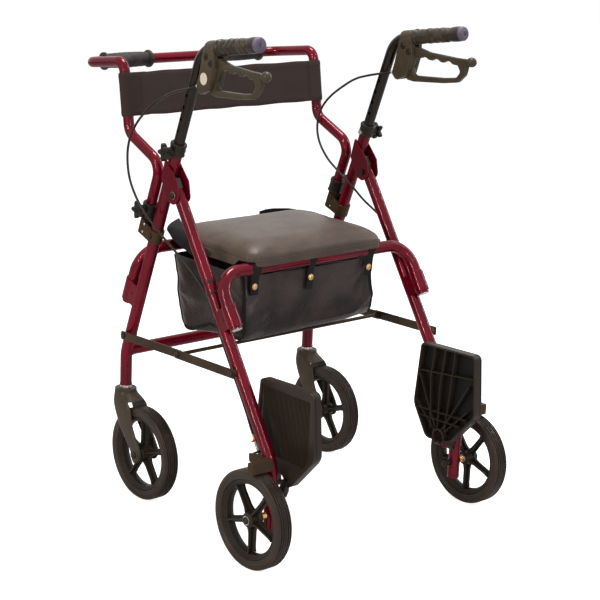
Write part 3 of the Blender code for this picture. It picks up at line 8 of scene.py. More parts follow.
import json
import bmesh
import bpy
from math import acos, atan2, cos, exp, pi, radians, sin, tan
from mathutils import Matrix, Quaternion, Vector, noise
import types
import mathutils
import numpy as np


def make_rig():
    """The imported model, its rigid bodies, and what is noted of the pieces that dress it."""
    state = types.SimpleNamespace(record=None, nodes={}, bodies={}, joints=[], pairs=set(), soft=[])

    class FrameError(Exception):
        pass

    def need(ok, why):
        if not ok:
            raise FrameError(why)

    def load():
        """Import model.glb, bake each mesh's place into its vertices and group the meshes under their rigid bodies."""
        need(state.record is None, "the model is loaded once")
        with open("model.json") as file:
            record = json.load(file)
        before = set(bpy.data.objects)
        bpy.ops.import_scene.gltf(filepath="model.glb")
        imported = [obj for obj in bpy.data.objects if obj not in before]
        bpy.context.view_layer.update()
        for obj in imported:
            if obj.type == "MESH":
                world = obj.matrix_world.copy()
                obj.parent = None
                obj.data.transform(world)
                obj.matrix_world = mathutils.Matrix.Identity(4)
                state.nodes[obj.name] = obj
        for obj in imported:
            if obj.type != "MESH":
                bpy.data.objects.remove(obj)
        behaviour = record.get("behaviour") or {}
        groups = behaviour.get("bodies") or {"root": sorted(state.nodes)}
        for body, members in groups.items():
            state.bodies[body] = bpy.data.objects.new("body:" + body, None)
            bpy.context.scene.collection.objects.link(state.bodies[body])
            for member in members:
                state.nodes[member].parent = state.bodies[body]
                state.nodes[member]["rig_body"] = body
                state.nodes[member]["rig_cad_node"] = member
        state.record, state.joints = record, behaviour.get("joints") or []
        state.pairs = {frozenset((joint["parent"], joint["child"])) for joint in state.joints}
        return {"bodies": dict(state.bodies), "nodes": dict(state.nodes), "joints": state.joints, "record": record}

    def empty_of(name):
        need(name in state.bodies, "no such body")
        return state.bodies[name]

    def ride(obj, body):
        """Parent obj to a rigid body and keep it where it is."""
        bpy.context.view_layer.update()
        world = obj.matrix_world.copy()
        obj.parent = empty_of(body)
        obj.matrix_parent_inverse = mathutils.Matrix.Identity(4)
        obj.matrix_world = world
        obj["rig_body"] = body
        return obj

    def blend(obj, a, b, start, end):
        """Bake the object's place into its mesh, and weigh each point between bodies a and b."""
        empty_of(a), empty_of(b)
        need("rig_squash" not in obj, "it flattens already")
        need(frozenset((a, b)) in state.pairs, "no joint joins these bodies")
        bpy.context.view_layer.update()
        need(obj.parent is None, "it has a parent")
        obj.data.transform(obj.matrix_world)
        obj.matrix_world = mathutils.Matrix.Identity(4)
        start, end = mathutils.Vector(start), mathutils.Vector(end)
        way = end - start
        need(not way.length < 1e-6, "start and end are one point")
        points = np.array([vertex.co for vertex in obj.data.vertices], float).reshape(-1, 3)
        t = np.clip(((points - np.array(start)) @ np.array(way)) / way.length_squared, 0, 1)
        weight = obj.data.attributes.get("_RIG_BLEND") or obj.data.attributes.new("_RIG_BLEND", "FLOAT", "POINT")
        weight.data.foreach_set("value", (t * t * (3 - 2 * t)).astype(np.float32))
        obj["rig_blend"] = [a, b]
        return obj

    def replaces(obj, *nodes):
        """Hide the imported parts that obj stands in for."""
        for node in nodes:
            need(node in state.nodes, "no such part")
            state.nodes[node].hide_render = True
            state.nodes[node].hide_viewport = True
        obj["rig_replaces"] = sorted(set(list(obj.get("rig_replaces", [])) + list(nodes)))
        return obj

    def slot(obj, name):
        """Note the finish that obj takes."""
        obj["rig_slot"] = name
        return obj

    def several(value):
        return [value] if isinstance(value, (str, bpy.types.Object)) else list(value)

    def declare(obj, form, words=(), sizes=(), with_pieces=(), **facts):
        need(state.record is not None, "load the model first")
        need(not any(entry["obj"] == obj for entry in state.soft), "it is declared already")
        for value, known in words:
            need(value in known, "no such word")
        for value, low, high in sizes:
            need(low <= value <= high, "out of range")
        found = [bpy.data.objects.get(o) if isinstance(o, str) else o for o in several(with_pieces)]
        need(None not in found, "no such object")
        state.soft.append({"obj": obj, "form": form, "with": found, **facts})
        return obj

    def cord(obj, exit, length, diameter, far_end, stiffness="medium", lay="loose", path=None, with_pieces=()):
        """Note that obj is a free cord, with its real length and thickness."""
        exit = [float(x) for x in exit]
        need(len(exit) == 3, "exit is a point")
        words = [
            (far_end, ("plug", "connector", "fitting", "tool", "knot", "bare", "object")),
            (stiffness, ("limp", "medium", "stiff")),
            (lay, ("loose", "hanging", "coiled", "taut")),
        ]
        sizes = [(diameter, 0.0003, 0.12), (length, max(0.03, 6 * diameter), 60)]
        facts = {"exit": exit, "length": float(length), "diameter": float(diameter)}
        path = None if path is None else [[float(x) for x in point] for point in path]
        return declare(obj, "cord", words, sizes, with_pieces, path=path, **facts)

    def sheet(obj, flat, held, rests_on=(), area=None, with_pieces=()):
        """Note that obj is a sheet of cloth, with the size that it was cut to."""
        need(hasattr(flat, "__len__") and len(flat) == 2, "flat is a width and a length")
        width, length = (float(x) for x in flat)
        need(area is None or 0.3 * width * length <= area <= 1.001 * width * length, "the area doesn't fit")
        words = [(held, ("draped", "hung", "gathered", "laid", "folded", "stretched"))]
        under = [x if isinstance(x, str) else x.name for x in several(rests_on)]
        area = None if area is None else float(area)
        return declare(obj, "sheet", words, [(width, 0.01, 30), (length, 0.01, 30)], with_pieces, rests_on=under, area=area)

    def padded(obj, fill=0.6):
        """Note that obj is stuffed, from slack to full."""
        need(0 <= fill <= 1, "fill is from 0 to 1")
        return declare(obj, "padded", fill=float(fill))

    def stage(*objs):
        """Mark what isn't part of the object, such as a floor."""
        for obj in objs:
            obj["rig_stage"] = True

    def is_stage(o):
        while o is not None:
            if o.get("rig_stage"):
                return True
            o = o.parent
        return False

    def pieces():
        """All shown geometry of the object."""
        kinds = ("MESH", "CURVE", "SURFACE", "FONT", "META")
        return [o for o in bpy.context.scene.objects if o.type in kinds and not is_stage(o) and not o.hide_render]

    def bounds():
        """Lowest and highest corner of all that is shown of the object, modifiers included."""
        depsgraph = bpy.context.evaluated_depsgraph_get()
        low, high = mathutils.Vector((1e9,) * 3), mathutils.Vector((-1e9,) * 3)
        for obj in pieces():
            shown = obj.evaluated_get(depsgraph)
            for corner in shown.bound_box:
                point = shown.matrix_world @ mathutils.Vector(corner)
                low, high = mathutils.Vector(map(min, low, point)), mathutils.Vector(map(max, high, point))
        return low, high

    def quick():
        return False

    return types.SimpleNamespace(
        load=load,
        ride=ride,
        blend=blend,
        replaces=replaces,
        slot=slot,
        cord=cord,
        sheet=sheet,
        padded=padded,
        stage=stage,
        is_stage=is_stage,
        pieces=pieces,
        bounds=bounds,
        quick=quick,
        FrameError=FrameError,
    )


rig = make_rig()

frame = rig.load()
solid_box = [list(corner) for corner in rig.bounds()]

# Sizes shared with the solid model
ORIGIN_Y = 0.0045
GAP = 0.0003
TUBE_R = 0.0127
SLIDING_TUBE_R = 0.0111
SOCKET_R = 0.0152
SHEET_T = 0.003
BOLT_R = 0.004
PIN_R = 0.003
WHEEL_R = 0.100
TYRE_BORE_R = 0.080
TYRE_HALF_WIDTH = 0.0175
RIM_HALF_WIDTH = 0.0135
RIM_INNER_R = 0.069
HUB_R = 0.0165
HUB_HALF_WIDTH = 0.0165
SPOKES = 5
REAR_WHEEL_X = 0.3015
LEG_X = 0.258
FRONT_LEAN = -radians(19.6)
CASTER_Y = 0.209
FRONT_LEG_BOTTOM = 0.234
FRONT_BEND_Z = 0.307
FRONT_BEND_R = 0.08
FRONT_LEG_TOP = 0.776
FOLD = (0.036, 0.678)
REAR_LEAN = radians(33.5)
REAR_AXLE_Y = -0.280
REAR_BEND_R = 0.07
REAR_LEG_ABOVE = 0.031
REAR_LEG_BOTTOM = 0.064
SEAT_BEND_R = 0.052
FRONT_SOCKET_Z = 0.4385
FRONT_SOCKET_OFFSET = 0.0345
FRONT_SOCKET_LENGTH = 0.050
FRONT_RUN_Z = 0.540
REAR_SOCKET_T = -0.2738
REAR_SOCKET_OFFSET = -0.033
REAR_SOCKET_LENGTH = 0.045
REAR_RUN_Z = 0.542
CASTER_TRAIL = 0.072
FORK_HALF_WIDTH = 0.0285
ARM_T = 0.0065
HANDLE_TOP = 0.783
HANDLE_TOE = radians(4.2)
HANDLE_CORNER_Z = 0.975
HANDLE_BEND_R = 0.055
HANDLE_INSERT = 0.115
HANDLE_KNOB_Z = 0.7645
GRIP_RISE = radians(9.0)
GRIP_START_Y = -0.089
GRIP_END_Y = -0.218
GRIP_R = 0.016
COLLAR_R = 0.0170
COLLAR_LENGTH = 0.026
HOLE_R = 0.0036
FIRST_HOLE_Z = 0.809
HOLE_PITCH = 0.0257
KNOB_BOSS = 0.0225
KNOB_BOSS_R = 0.0095
LEVER_PIVOT = (-0.078, 0.955)
HOUSING_HALF_WIDTH = 0.0175
FERRULE_END = (-0.031, 0.9045)
FERRULE_WAY = Vector((0, 0.954, -0.301))
FERRULE_OFFSET = 0.011
CABLE_R = 0.0025
CABLE_X = 0.262
CABLE_TURN = (-0.105, 0.4655)
CASTER_AXLE = (CASTER_Y - CASTER_TRAIL, WHEEL_R)
REAR_AXLE = (REAR_AXLE_Y, WHEEL_R)
SHOE_PIVOT = (-0.266, 0.210)
SHOE_X = 0.2735
PAD_T = 0.016
STOP_T = -0.5145
STOP_OFFSET = 0.0195
SPRING_LENGTH = 0.0165
SPRING_TOP_T = -0.0025 - GAP
BACK_SOCKET = (0.129, 0.643)
STUB_LOW = -0.060
STUB_HIGH = -0.003
BACK_INSERT = -0.055
BACK_LOW_CORNER_T = 0.0915
BACK_MID = (0.209, 0.778)
BACK_TOP = (0.232, 0.921)
PUSH_BAR = (0.370, 0.903)
BACK_COLLAR_LENGTH = 0.030
BACK_KNOB_T = -0.011
BRACKET_Z = 0.587
BRACKET_LOW = -0.0205
BRACKET_HIGH = 0.0068
BRACKET_WING_HIGH = 0.0160
BRACKET_BEYOND = 0.003
PUSH_GRIP_IN = 0.093
PUSH_GRIP_OUT = 0.215
PUSH_GRIP_R = 0.016
PUSH_FLANGE_R = 0.019
STRAP_LOW = 0.033
STRAP_WIDTH = 0.089
STRAP_T = 0.0024
STRAP_SAG = 0.006
FRONT_LINK_Z = 0.349
LINK_MIDDLE = (0.001, 0.357)
REAR_LINK_T = -0.3787
LINK_W = 0.0185
LINK_T = 0.003
INNER_LAYER_X = 0.2745
OUTER_LAYER_X = 0.2781
SEAT_HALF_WIDTH = 0.190
SEAT_REAR_Y = -0.113
SEAT_FRONT_Y = 0.175
BAG_LEFT = -0.190
BAG_RIGHT = 0.180
TAB_W = 0.024
REAR_TAB_X = (-0.165, -0.007, 0.148)
FRONT_TAB_X = (-0.095, 0.095)
PLATE_HINGE = (0.2355, 0.140)
HANGER_Y = -0.270
PLATE_IN_X = 0.212
PLATE_OUT_X = 0.232

SIDES = {"left": -1, "right": 1}
X_AXIS = Vector((1, 0, 0))
Y_AXIS = Vector((0, 1, 0))
Z_AXIS = Vector((0, 0, 1))
NOWHERE = Vector((0, 0, 0))
TINY = 1e-7


# Node trees

class Value:
    """A socket of a node tree. A sum or product of it adds that Math node."""

    def __init__(self, graph, socket):
        self.graph = graph
        self.socket = socket

    def math(self, operation, first, second):
        return self.graph.node("ShaderNodeMath", {"operation": operation}, {0: first, 1: second})

    def __add__(self, other):
        return self.math("ADD", self, other)

    def __mul__(self, other):
        return self.math("MULTIPLY", self, other)

    __radd__ = __add__
    __rmul__ = __mul__

    def __sub__(self, other):
        return self.math("SUBTRACT", self, other)

    def __rsub__(self, other):
        return self.math("SUBTRACT", other, self)


class Graph:
    """A node tree built by calls. Each call gives back one output as a Value."""

    def __init__(self, tree):
        self.tree = tree

    def node(self, kind, settings=None, inputs=None, out=0):
        made = self.tree.nodes.new(kind)
        for key, value in (settings or {}).items():
            setattr(made, key, value)
        for key, value in (inputs or {}).items():
            self.feed(made.inputs[key], value)
        return Value(self, made.outputs[out]) if made.outputs else made

    def feed(self, socket, value):
        if isinstance(value, Value):
            self.tree.links.new(value.socket, socket)
        else:
            socket.default_value = value


def tone(red, green, blue):
    """Linear colour from the 0 to 255 values that a picture shows."""
    linear = []
    for value in (red, green, blue):
        share = value / 255
        linear.append(share / 12.92 if share <= 0.04045 else ((share + 0.055) / 1.055) ** 2.4)
    return (*linear, 1.0)


class Finish(Graph):
    """A surface finish: plain numbers on its shader, patterns through its nodes."""

    def __init__(self, name, **numbers):
        self.material = bpy.data.materials.new(name)
        self.material.use_nodes = True
        super().__init__(self.material.node_tree)
        self.shader = self.tree.nodes["Principled BSDF"]
        for key, value in numbers.items():
            self.shader.inputs[key.replace("_", " ")].default_value = value
        self.place = self.node("ShaderNodeTexCoord", out="Object")

    def stretched(self, x, y, z):
        """Object coordinates scaled along each axis."""
        return self.node("ShaderNodeMapping", inputs={"Vector": self.place, "Scale": (x, y, z)})

    def noise(self, scale, detail, place=None):
        return self.node("ShaderNodeTexNoise", inputs={
            "Vector": place or self.place, "Scale": scale, "Detail": detail})

    def cells(self, scale, feature="F1"):
        return self.node("ShaderNodeTexVoronoi", {"feature": feature}, {
            "Vector": self.place, "Scale": scale}, out="Distance")

    def ribs(self, scale, direction):
        return self.node("ShaderNodeTexWave", {"bands_direction": direction}, {
            "Vector": self.place, "Scale": scale}, out=1)

    def eased(self, value, low, high):
        """0 below low, 1 above high, and smooth between them."""
        return self.node("ShaderNodeMapRange", {"interpolation_type": "SMOOTHSTEP"}, {
            "Value": value, "From Min": low, "From Max": high})

    def blend(self, share, first, second):
        return self.node("ShaderNodeMix", {"data_type": "RGBA"}, {0: share, 6: first, 7: second},
                         out=2)

    def dress(self, name, value):
        self.feed(self.shader.inputs[name], value)

    def bump(self, height, depth):
        self.dress("Normal", self.node("ShaderNodeBump", inputs={
            "Height": height, "Distance": depth, "Strength": 1.0}))


def painted_finish(name, light, dark, roughness, metallic, coat=0.35):
    """Lacquered metal: fine flakes, a faint orange peel and a clear coat."""
    finish = Finish(name, Coat_Weight=coat, Coat_Roughness=0.03, Specular_IOR_Level=0.04)
    flakes = finish.cells(2600.0)
    clouds = finish.noise(9.0, 4.0)
    shade = finish.eased(flakes * 0.45 + clouds * 0.75, 0.35, 0.95)
    finish.dress("Base Color", finish.blend(shade, dark, light))
    finish.dress("Roughness", roughness + finish.noise(60.0, 4.0) * 0.08)
    finish.dress("Metallic", metallic + flakes * 0.08)
    finish.bump(finish.noise(420.0, 2.0), 0.00004)
    return finish.material


def moulded_finish(name, light, dark, roughness, grain=900.0):
    """Moulded plastic: eroded grain, faint flow marks and paler rubbed places."""
    finish = Finish(name, Specular_IOR_Level=0.18)
    clouds = finish.noise(14.0, 5.0)
    rubbed = finish.eased(finish.noise(38.0, 6.0), 0.52, 0.78)
    finish.dress("Base Color", finish.blend(clouds * 0.7 + rubbed * 0.3, dark, light))
    finish.dress("Roughness", roughness + clouds * 0.10 - rubbed * 0.06)
    finish.bump(finish.cells(grain) * 0.7 + finish.noise(grain * 0.6, 3.0), 0.00006)
    return finish.material


def rubber_finish(name, light, dark, roughness, grain, depth=0.00008):
    """Rubber or foam: matt, slightly dusty, with a fine open grain."""
    finish = Finish(name, Specular_IOR_Level=0.18)
    dust = finish.eased(finish.noise(26.0, 6.0), 0.40, 0.75)
    finish.dress("Base Color", finish.blend(dust, dark, light))
    finish.dress("Roughness", roughness + dust * 0.08)
    finish.bump(finish.cells(grain) + finish.noise(grain * 0.7, 4.0) * 0.6, depth)
    return finish.material


def metal_finish(name, light, dark, roughness):
    """Plated metal: a fine brushed streak and duller spots."""
    finish = Finish(name)
    streaks = finish.noise(1.0, 4.0, finish.stretched(900.0, 120.0, 120.0))
    spots = finish.eased(finish.noise(240.0, 5.0), 0.50, 0.72)
    finish.dress("Base Color", finish.blend(spots * 0.7 + streaks * 0.3, light, dark))
    finish.dress("Metallic", 1.0 - spots * 0.15)
    finish.dress("Roughness", roughness + streaks * 0.10 + spots * 0.12)
    finish.bump(streaks, 0.00003)
    return finish.material


def vinyl_finish(name, light, dark, roughness, wrinkle, grain=420.0, shine=0.16, wear_and_sheen_share=0.65):
    """Coated cloth: leather grain in cells, soft wrinkles of its own size, and large lighter and darker patches that
    are partly wear and partly painted sheen.
    """
    finish = Finish(name, Specular_IOR_Level=shine)
    pores = finish.eased(finish.cells(grain, "DISTANCE_TO_EDGE"), 0.0, 0.22)
    creases = finish.noise(34.0, 5.0)
    # Large lighter and darker patches: partly wear, partly painted sheen that stands in for glossy light on folds.
    wear_and_sheen = finish.eased(finish.noise(11.0, 4.0), 0.36, 0.66)
    finish.dress("Base Color", finish.blend(pores * (1.0 - wear_and_sheen_share) + wear_and_sheen * wear_and_sheen_share, dark, light))
    finish.dress("Roughness", roughness + (1.0 - pores) * 0.10 + creases * 0.06)
    finish.bump(pores * 0.22 + creases * wrinkle, 0.00032)
    return finish.material


def woven_finish(name, light, dark, pitch):
    """Woven webbing: warp and weft of a named pitch, with a little fluff."""
    finish = Finish(name, Roughness=0.86, Specular_IOR_Level=0.25)
    warp = finish.ribs(0.157 / pitch, "X")
    weft = finish.ribs(0.157 / pitch, "Z")
    weave = warp * weft + (1.0 - warp) * (1.0 - weft)
    fluff = finish.noise(700.0, 4.0)
    finish.dress("Base Color", finish.blend(weave * 0.6 + fluff * 0.4, dark, light))
    finish.bump(weave + fluff * 0.4, 0.00022)
    return finish.material


PAINT = painted_finish("burgundy_paint", tone(122, 1, 31), tone(80, 1, 17), 0.24, 0.20, 0.34)
GLOSS_BLACK = painted_finish("gloss_black_paint", tone(46, 36, 26), tone(20, 15, 11), 0.20, 0.10, 0.34)
LINK_BLACK = painted_finish("satin_black_paint", tone(78, 60, 36), tone(42, 32, 21), 0.36, 0.10, 0.2)
FORK = moulded_finish("fork_plastic", tone(84, 72, 58), tone(52, 44, 35), 0.36)
PLASTIC = moulded_finish("black_plastic", tone(56, 47, 38), tone(32, 27, 22), 0.36)
HOUSING = moulded_finish("housing_plastic", tone(86, 75, 56), tone(50, 43, 33), 0.32)
KNOB = moulded_finish("knob_plastic", tone(50, 43, 36), tone(26, 22, 19), 0.34)
PLUG = moulded_finish("grey_plug_plastic", tone(92, 82, 76), tone(70, 62, 58), 0.40)
PLATE = moulded_finish("footplate_plastic", tone(60, 50, 41), tone(38, 31, 25), 0.32, 700.0)
# Near-black copy of the footplate plastic for the inner face of its recess: painted shade.
PLATE_PAINTED_SHADE = moulded_finish("recess_plastic", tone(20, 17, 14), tone(10, 8, 7), 0.42, 700.0)
TYRE = rubber_finish("tyre_rubber", tone(60, 49, 41), tone(50, 41, 34), 0.32, 1400.0, 0.00005)
GRIP = rubber_finish("grip_rubber", tone(74, 65, 53), tone(46, 40, 34), 0.34, 1100.0)
GRIP_END = rubber_finish("grip_end_rubber", tone(132, 124, 142), tone(92, 84, 100), 0.40, 1100.0)
FOAM = rubber_finish("foam", tone(72, 66, 66), tone(40, 36, 36), 0.62, 700.0, 0.00018)
STEEL = metal_finish("zinc_steel", tone(200, 196, 190), tone(140, 136, 132), 0.24)
DARK_STEEL = metal_finish("blackened_steel", tone(64, 56, 50), tone(26, 23, 22), 0.30)
BRASS = metal_finish("brass", tone(224, 180, 120), tone(160, 116, 66), 0.22)
VINYL = vinyl_finish("seat_vinyl", tone(90, 77, 67), tone(65, 54, 46), 0.30, 0.45, 420.0, 0.22)
# The bag's wide spread from light to dark in large patches is painted sheen for the light on its folds.
BAG_VINYL = vinyl_finish("bag_vinyl", tone(66, 54, 51), tone(24, 19, 17), 0.22, 5.0, 520.0, 0.28, 0.75)
FLAP_CLOTH = vinyl_finish("flap_vinyl", tone(26, 22, 22), tone(12, 10, 10), 0.34, 0.8)
BINDING = woven_finish("black_binding", tone(26, 22, 22), tone(10, 8, 8), 0.0011)
WEBBING = woven_finish("webbing", tone(62, 48, 44), tone(38, 29, 27), 0.0014)
THREAD = woven_finish("light_thread", tone(170, 160, 152), tone(120, 110, 104), 0.0004)
SHEATH = rubber_finish("cable_sheath", tone(50, 42, 38), tone(26, 22, 20), 0.34, 900.0, 0.00004)
FERRULE = metal_finish("bright_ferrule", tone(236, 236, 234), tone(196, 196, 194), 0.18)
RED_TAB = painted_finish("red_tab_paint", tone(190, 22, 28), tone(140, 8, 14), 0.24, 0.1)
BADGE = moulded_finish("plain_badge", tone(226, 216, 204), tone(204, 192, 178), 0.30)


# Mesh building

def shell(verts, faces):
    """Mesh from corners and faces, with its faces turned outwards."""
    mesh = bpy.data.meshes.new("shell")
    mesh.from_pydata([tuple(v) for v in verts], [], faces)
    return outward(mesh)


def quads(rows, count, around=True, ends_meet=False):
    """Faces between neighbouring rows of points, which may close on themselves."""
    faces = []
    for i in range(rows if ends_meet else rows - 1):
        for k in range(count if around else count - 1):
            nxt = (k + 1) % count
            a, b = i * count, (i + 1) % rows * count
            faces.append((a + k, a + nxt, b + nxt, b + k))
    return faces


def capped(verts, count):
    """Closed skin over rows of points, with the first and the last row filled."""
    ends = [tuple(range(count)), tuple(range(len(verts) - count, len(verts)))]
    return shell(verts, ends + quads(len(verts) // count, count))


def outward(mesh, merge=0.0):
    bm = bmesh.new()
    bm.from_mesh(mesh)
    if merge:
        bmesh.ops.remove_doubles(bm, verts=bm.verts, dist=merge)
    bmesh.ops.recalc_face_normals(bm, faces=bm.faces)
    bm.to_mesh(mesh)
    bm.free()
    return mesh


def held(data, name="held"):
    """Object that holds some data while it is worked on."""
    obj = bpy.data.objects.new(name, data)
    bpy.context.scene.collection.objects.link(obj)
    return obj


def settled(obj):
    """Plain mesh of an object with its modifiers. The object goes."""
    graph = bpy.context.evaluated_depsgraph_get()
    mesh = bpy.data.meshes.new_from_object(obj.evaluated_get(graph))
    bpy.data.objects.remove(obj, do_unlink=True)
    return mesh


def changed(mesh, kind, **settings):
    """Plain mesh that one modifier makes of a mesh."""
    obj = held(mesh)
    modifier = obj.modifiers.new("change", kind)
    for key, value in settings.items():
        setattr(modifier, key, value)
    return settled(obj)


def squared(value, power):
    """Share along a superellipse: nearly all or nothing for a high power."""
    return (1 if value > 0 else -1) * abs(value) ** (2 / power)


def lofted(sections, x, count=56):
    """Closed body through level sections (z, low y, high y, half x, power of its corners)."""
    verts = []
    for z, low, high, half_x, power in sections:
        for k in range(count):
            angle = 2 * pi * (k + 0.5) / count
            a, b = squared(cos(angle), power), squared(sin(angle), power)
            verts.append((x + a * half_x, (low + high) / 2 + b * (high - low) / 2, z))
    return capped(verts, count)


def carve(mesh, *cutters):
    """Mesh with other meshes cut out of it."""
    obj = held(mesh)
    tools = [held(cutter) for cutter in cutters]
    for tool in tools:
        modifier = obj.modifiers.new("carve", "BOOLEAN")
        modifier.operation = "DIFFERENCE"
        modifier.solver = "EXACT"
        modifier.object = tool
    made = settled(obj)
    for tool in tools:
        bpy.data.objects.remove(tool, do_unlink=True)
    return made


def at(x, yz):
    return Vector((x, yz[0], yz[1]))


def slanted(point, lean, t, off=0.0):
    """(y, z) at t up a line that leans from vertical towards +Y, off to its +Y side."""
    return (point[0] + t * sin(lean) + off * cos(lean),
            point[1] + t * cos(lean) - off * sin(lean))


def outline_from(origin, corners):
    """Closed outline from corners (y, z, radius) measured from a point."""
    return outline(*[(origin[0] + y, origin[1] + z, r) for y, z, r in corners])


def up_line(lean):
    return Vector((0, sin(lean), cos(lean)))


def fillet(corners, step, closed=False):
    """Points of a path or outline whose corners, (point, radius), are rounded."""
    points = [Vector(p).to_3d() for p, r in corners]
    count = len(points)
    out = []
    for i, (corner, radius) in enumerate(corners):
        here = points[i]
        end = not closed and i in (0, count - 1)
        if end or radius <= 0:
            out.append(here)
            continue
        to_last = points[i - 1] - here
        to_next = points[(i + 1) % count] - here
        room = 0.49 * min(to_last.length, to_next.length)
        to_last.normalize()
        to_next.normalize()
        turn = pi - acos(max(-1.0, min(1.0, to_last.dot(to_next))))
        if turn < radians(1) or room < TINY:
            out.append(here)
            continue
        back = min(radius * tan(turn / 2), room)
        radius = back / tan(turn / 2)
        centre = here + (to_last + to_next).normalized() * (radius / cos(turn / 2))
        spoke = here + to_last * back - centre
        axis = (-to_last).cross(to_next).normalized()
        steps = max(1, round(turn / step))
        for k in range(steps + 1):
            out.append(centre + Quaternion(axis, turn * k / steps) @ spoke)
    return out


def outline(*corners):
    """Closed (y, z) outline from corners (y, z, radius)."""
    pairs = [((y, z, 0.0), r) for y, z, r in corners]
    return [(p.x, p.y) for p in fillet(pairs, step=radians(15), closed=True)]


def arc(centre, radius, start, turn, steps):
    """Points round a centre, from one angle in degrees and on by another."""
    angles = [radians(start + turn * k / steps) for k in range(steps + 1)]
    return [(centre[0] + radius * cos(angle), centre[1] + radius * sin(angle)) for angle in angles]


def circle(centre, radius, steps=24):
    return arc(centre, radius, 0, 360, steps)[:-1]


def sweep(path, radius, sides, flat=1.0, flat_way=None):
    """Round bar along a path. flat thins it across flat_way, for a cord or a binding."""
    verts = []
    side = None
    for i, point in enumerate(path):
        before = path[max(i - 1, 0)]
        after = path[min(i + 1, len(path) - 1)]
        tangent = (point - before).normalized() + (after - point).normalized()
        tangent = (tangent if tangent.length > TINY else after - before).normalized()
        side = (flat_way or side or tangent.orthogonal()).copy()
        side = (side - tangent * side.dot(tangent)).normalized()
        other = tangent.cross(side)
        for k in range(sides):
            angle = 2 * pi * (k + 0.5) / sides
            verts.append(point + side * (cos(angle) * radius * flat) + other * (sin(angle) * radius))
    return capped(verts, sides)


def lathe(profile, base, axis, steps, edge=0.0005):
    """Closed profile of (radius, height) turned about an axis, its corners eased."""
    corners = [((r, h, 0.0), edge if r > TINY else 0.0) for r, h in profile]
    base = Vector(base)
    axis = Vector(axis).normalized()
    side = axis.orthogonal().normalized()
    other = axis.cross(side)
    verts = []
    rings = []
    for corner in fillet(corners, closed=True, step=radians(34)):
        centre = base + axis * corner.y
        first = len(verts)
        if corner.x < TINY:
            verts.append(centre)
            rings.append([first])
            continue
        for k in range(steps):
            angle = 2 * pi * k / steps
            verts.append(centre + (side * cos(angle) + other * sin(angle)) * corner.x)
        rings.append(list(range(first, first + steps)))
    faces = []
    for a, b in zip(rings, rings[1:] + rings[:1]):
        for k in range(steps):
            nxt = (k + 1) % steps
            if len(a) == 1 and len(b) == 1:
                continue
            if len(a) == 1:
                faces.append((a[0], b[k], b[nxt]))
            elif len(b) == 1:
                faces.append((a[k], a[nxt], b[0]))
            else:
                faces.append((a[k], a[nxt], b[nxt], b[k]))
    return shell(verts, faces)


def sleeve(inner, outer, low, high, base, axis, steps, edge=0.0005):
    """Plain ring from low to high along an axis, its corners eased."""
    return lathe([(inner, low), (outer, low), (outer, high), (inner, high)], base, axis, steps, edge)


def disc(radius, low, high, base, axis, steps=28, edge=0.0005):
    return sleeve(0, radius, low, high, base, axis, steps, edge)


def hex_nut(radius, low, high, base, axis):
    return disc(radius, low, high, base, axis, 6, 0.0004)


def rod(start, end, radius, steps=28, edge=0.0005):
    along = Vector(end) - Vector(start)
    return disc(radius, 0, along.length, start, along, steps, edge)


def cross_rod(x_a, x_b, yz, radius, steps=28, edge=0.0005):
    return rod(at(x_a, yz), at(x_b, yz), radius, steps, edge)


def domed(yz, x, s, radius, height):
    """Domed bolt head that stands out sideways from a face at x."""
    return lathe([(0, -0.001), (radius, -0.001), (radius, height * 0.35),
                  (radius * 0.82, height * 0.72), (radius * 0.45, height * 0.96), (0, height)],
                 at(x, yz), X_AXIS * s, 24, 0.0006)


def sided(s, a, b):
    """Low and high x of two places that are given for the right side."""
    return sorted((s * a, s * b))


def plate(shapes, low, high, edge=0.0008, u=Y_AXIS, v=Z_AXIS, w=X_AXIS, base=NOWHERE):
    """Flat piece from low to high along w. The first outline of (a, b) points along u
    and v is its rim, the rest are holes, and all edges are rounded."""
    curve = bpy.data.curves.new("plate", "CURVE")
    curve.dimensions = "2D"
    curve.fill_mode = "BOTH"
    curve.extrude = abs(high - low) / 2 - edge
    curve.bevel_depth = edge
    curve.bevel_resolution = 1
    curve.offset = -edge
    for shape in shapes:
        spline = curve.splines.new("POLY")
        spline.points.add(len(shape) - 1)
        for point, (a, b) in zip(spline.points, shape):
            point.co = (a, b, 0.0, 1.0)
        spline.use_cyclic_u = True
    mesh = settled(held(curve))
    place = Matrix((u, v, w)).transposed().to_4x4()
    place.translation = base + w * ((low + high) / 2)
    mesh.transform(place)
    return outward(mesh, 1e-6)


def box_between(low, high, edge=0.001, segments=2):
    """Block between two corners, with its edges rounded."""
    (x0, y0, z0), (x1, y1, z1) = low, high
    verts = [(x, y, z) for x in (x0, x1) for y in (y0, y1) for z in (z0, z1)]
    faces = [(0, 1, 3, 2), (4, 6, 7, 5), (0, 4, 5, 1), (2, 3, 7, 6), (0, 2, 6, 4), (1, 5, 7, 3)]
    return changed(shell(verts, faces), "BEVEL", width=edge, segments=segments,
                   limit_method="ANGLE", angle_limit=radians(35))


def moved(mesh, matrix):
    copy = mesh.copy()
    copy.transform(matrix)
    return copy


def gathered(name, parts, turn=None):
    """One object from {material: [meshes]}, turned if need be and set where the solids are."""
    bm = bmesh.new()
    data = bpy.data.meshes.new(name)
    for slot, (material, meshes) in enumerate(parts.items()):
        data.materials.append(material)
        for mesh in meshes:
            first = len(bm.faces)
            bm.from_mesh(mesh)
            bm.faces.ensure_lookup_table()
            for face in bm.faces[first:]:
                face.material_index = slot
                face.smooth = True
    bm.to_mesh(data)
    bm.free()
    if turn is not None:
        data.transform(turn)
    data.transform(Matrix.Translation((0, -ORIGIN_Y, 0)))
    return held(data, name)


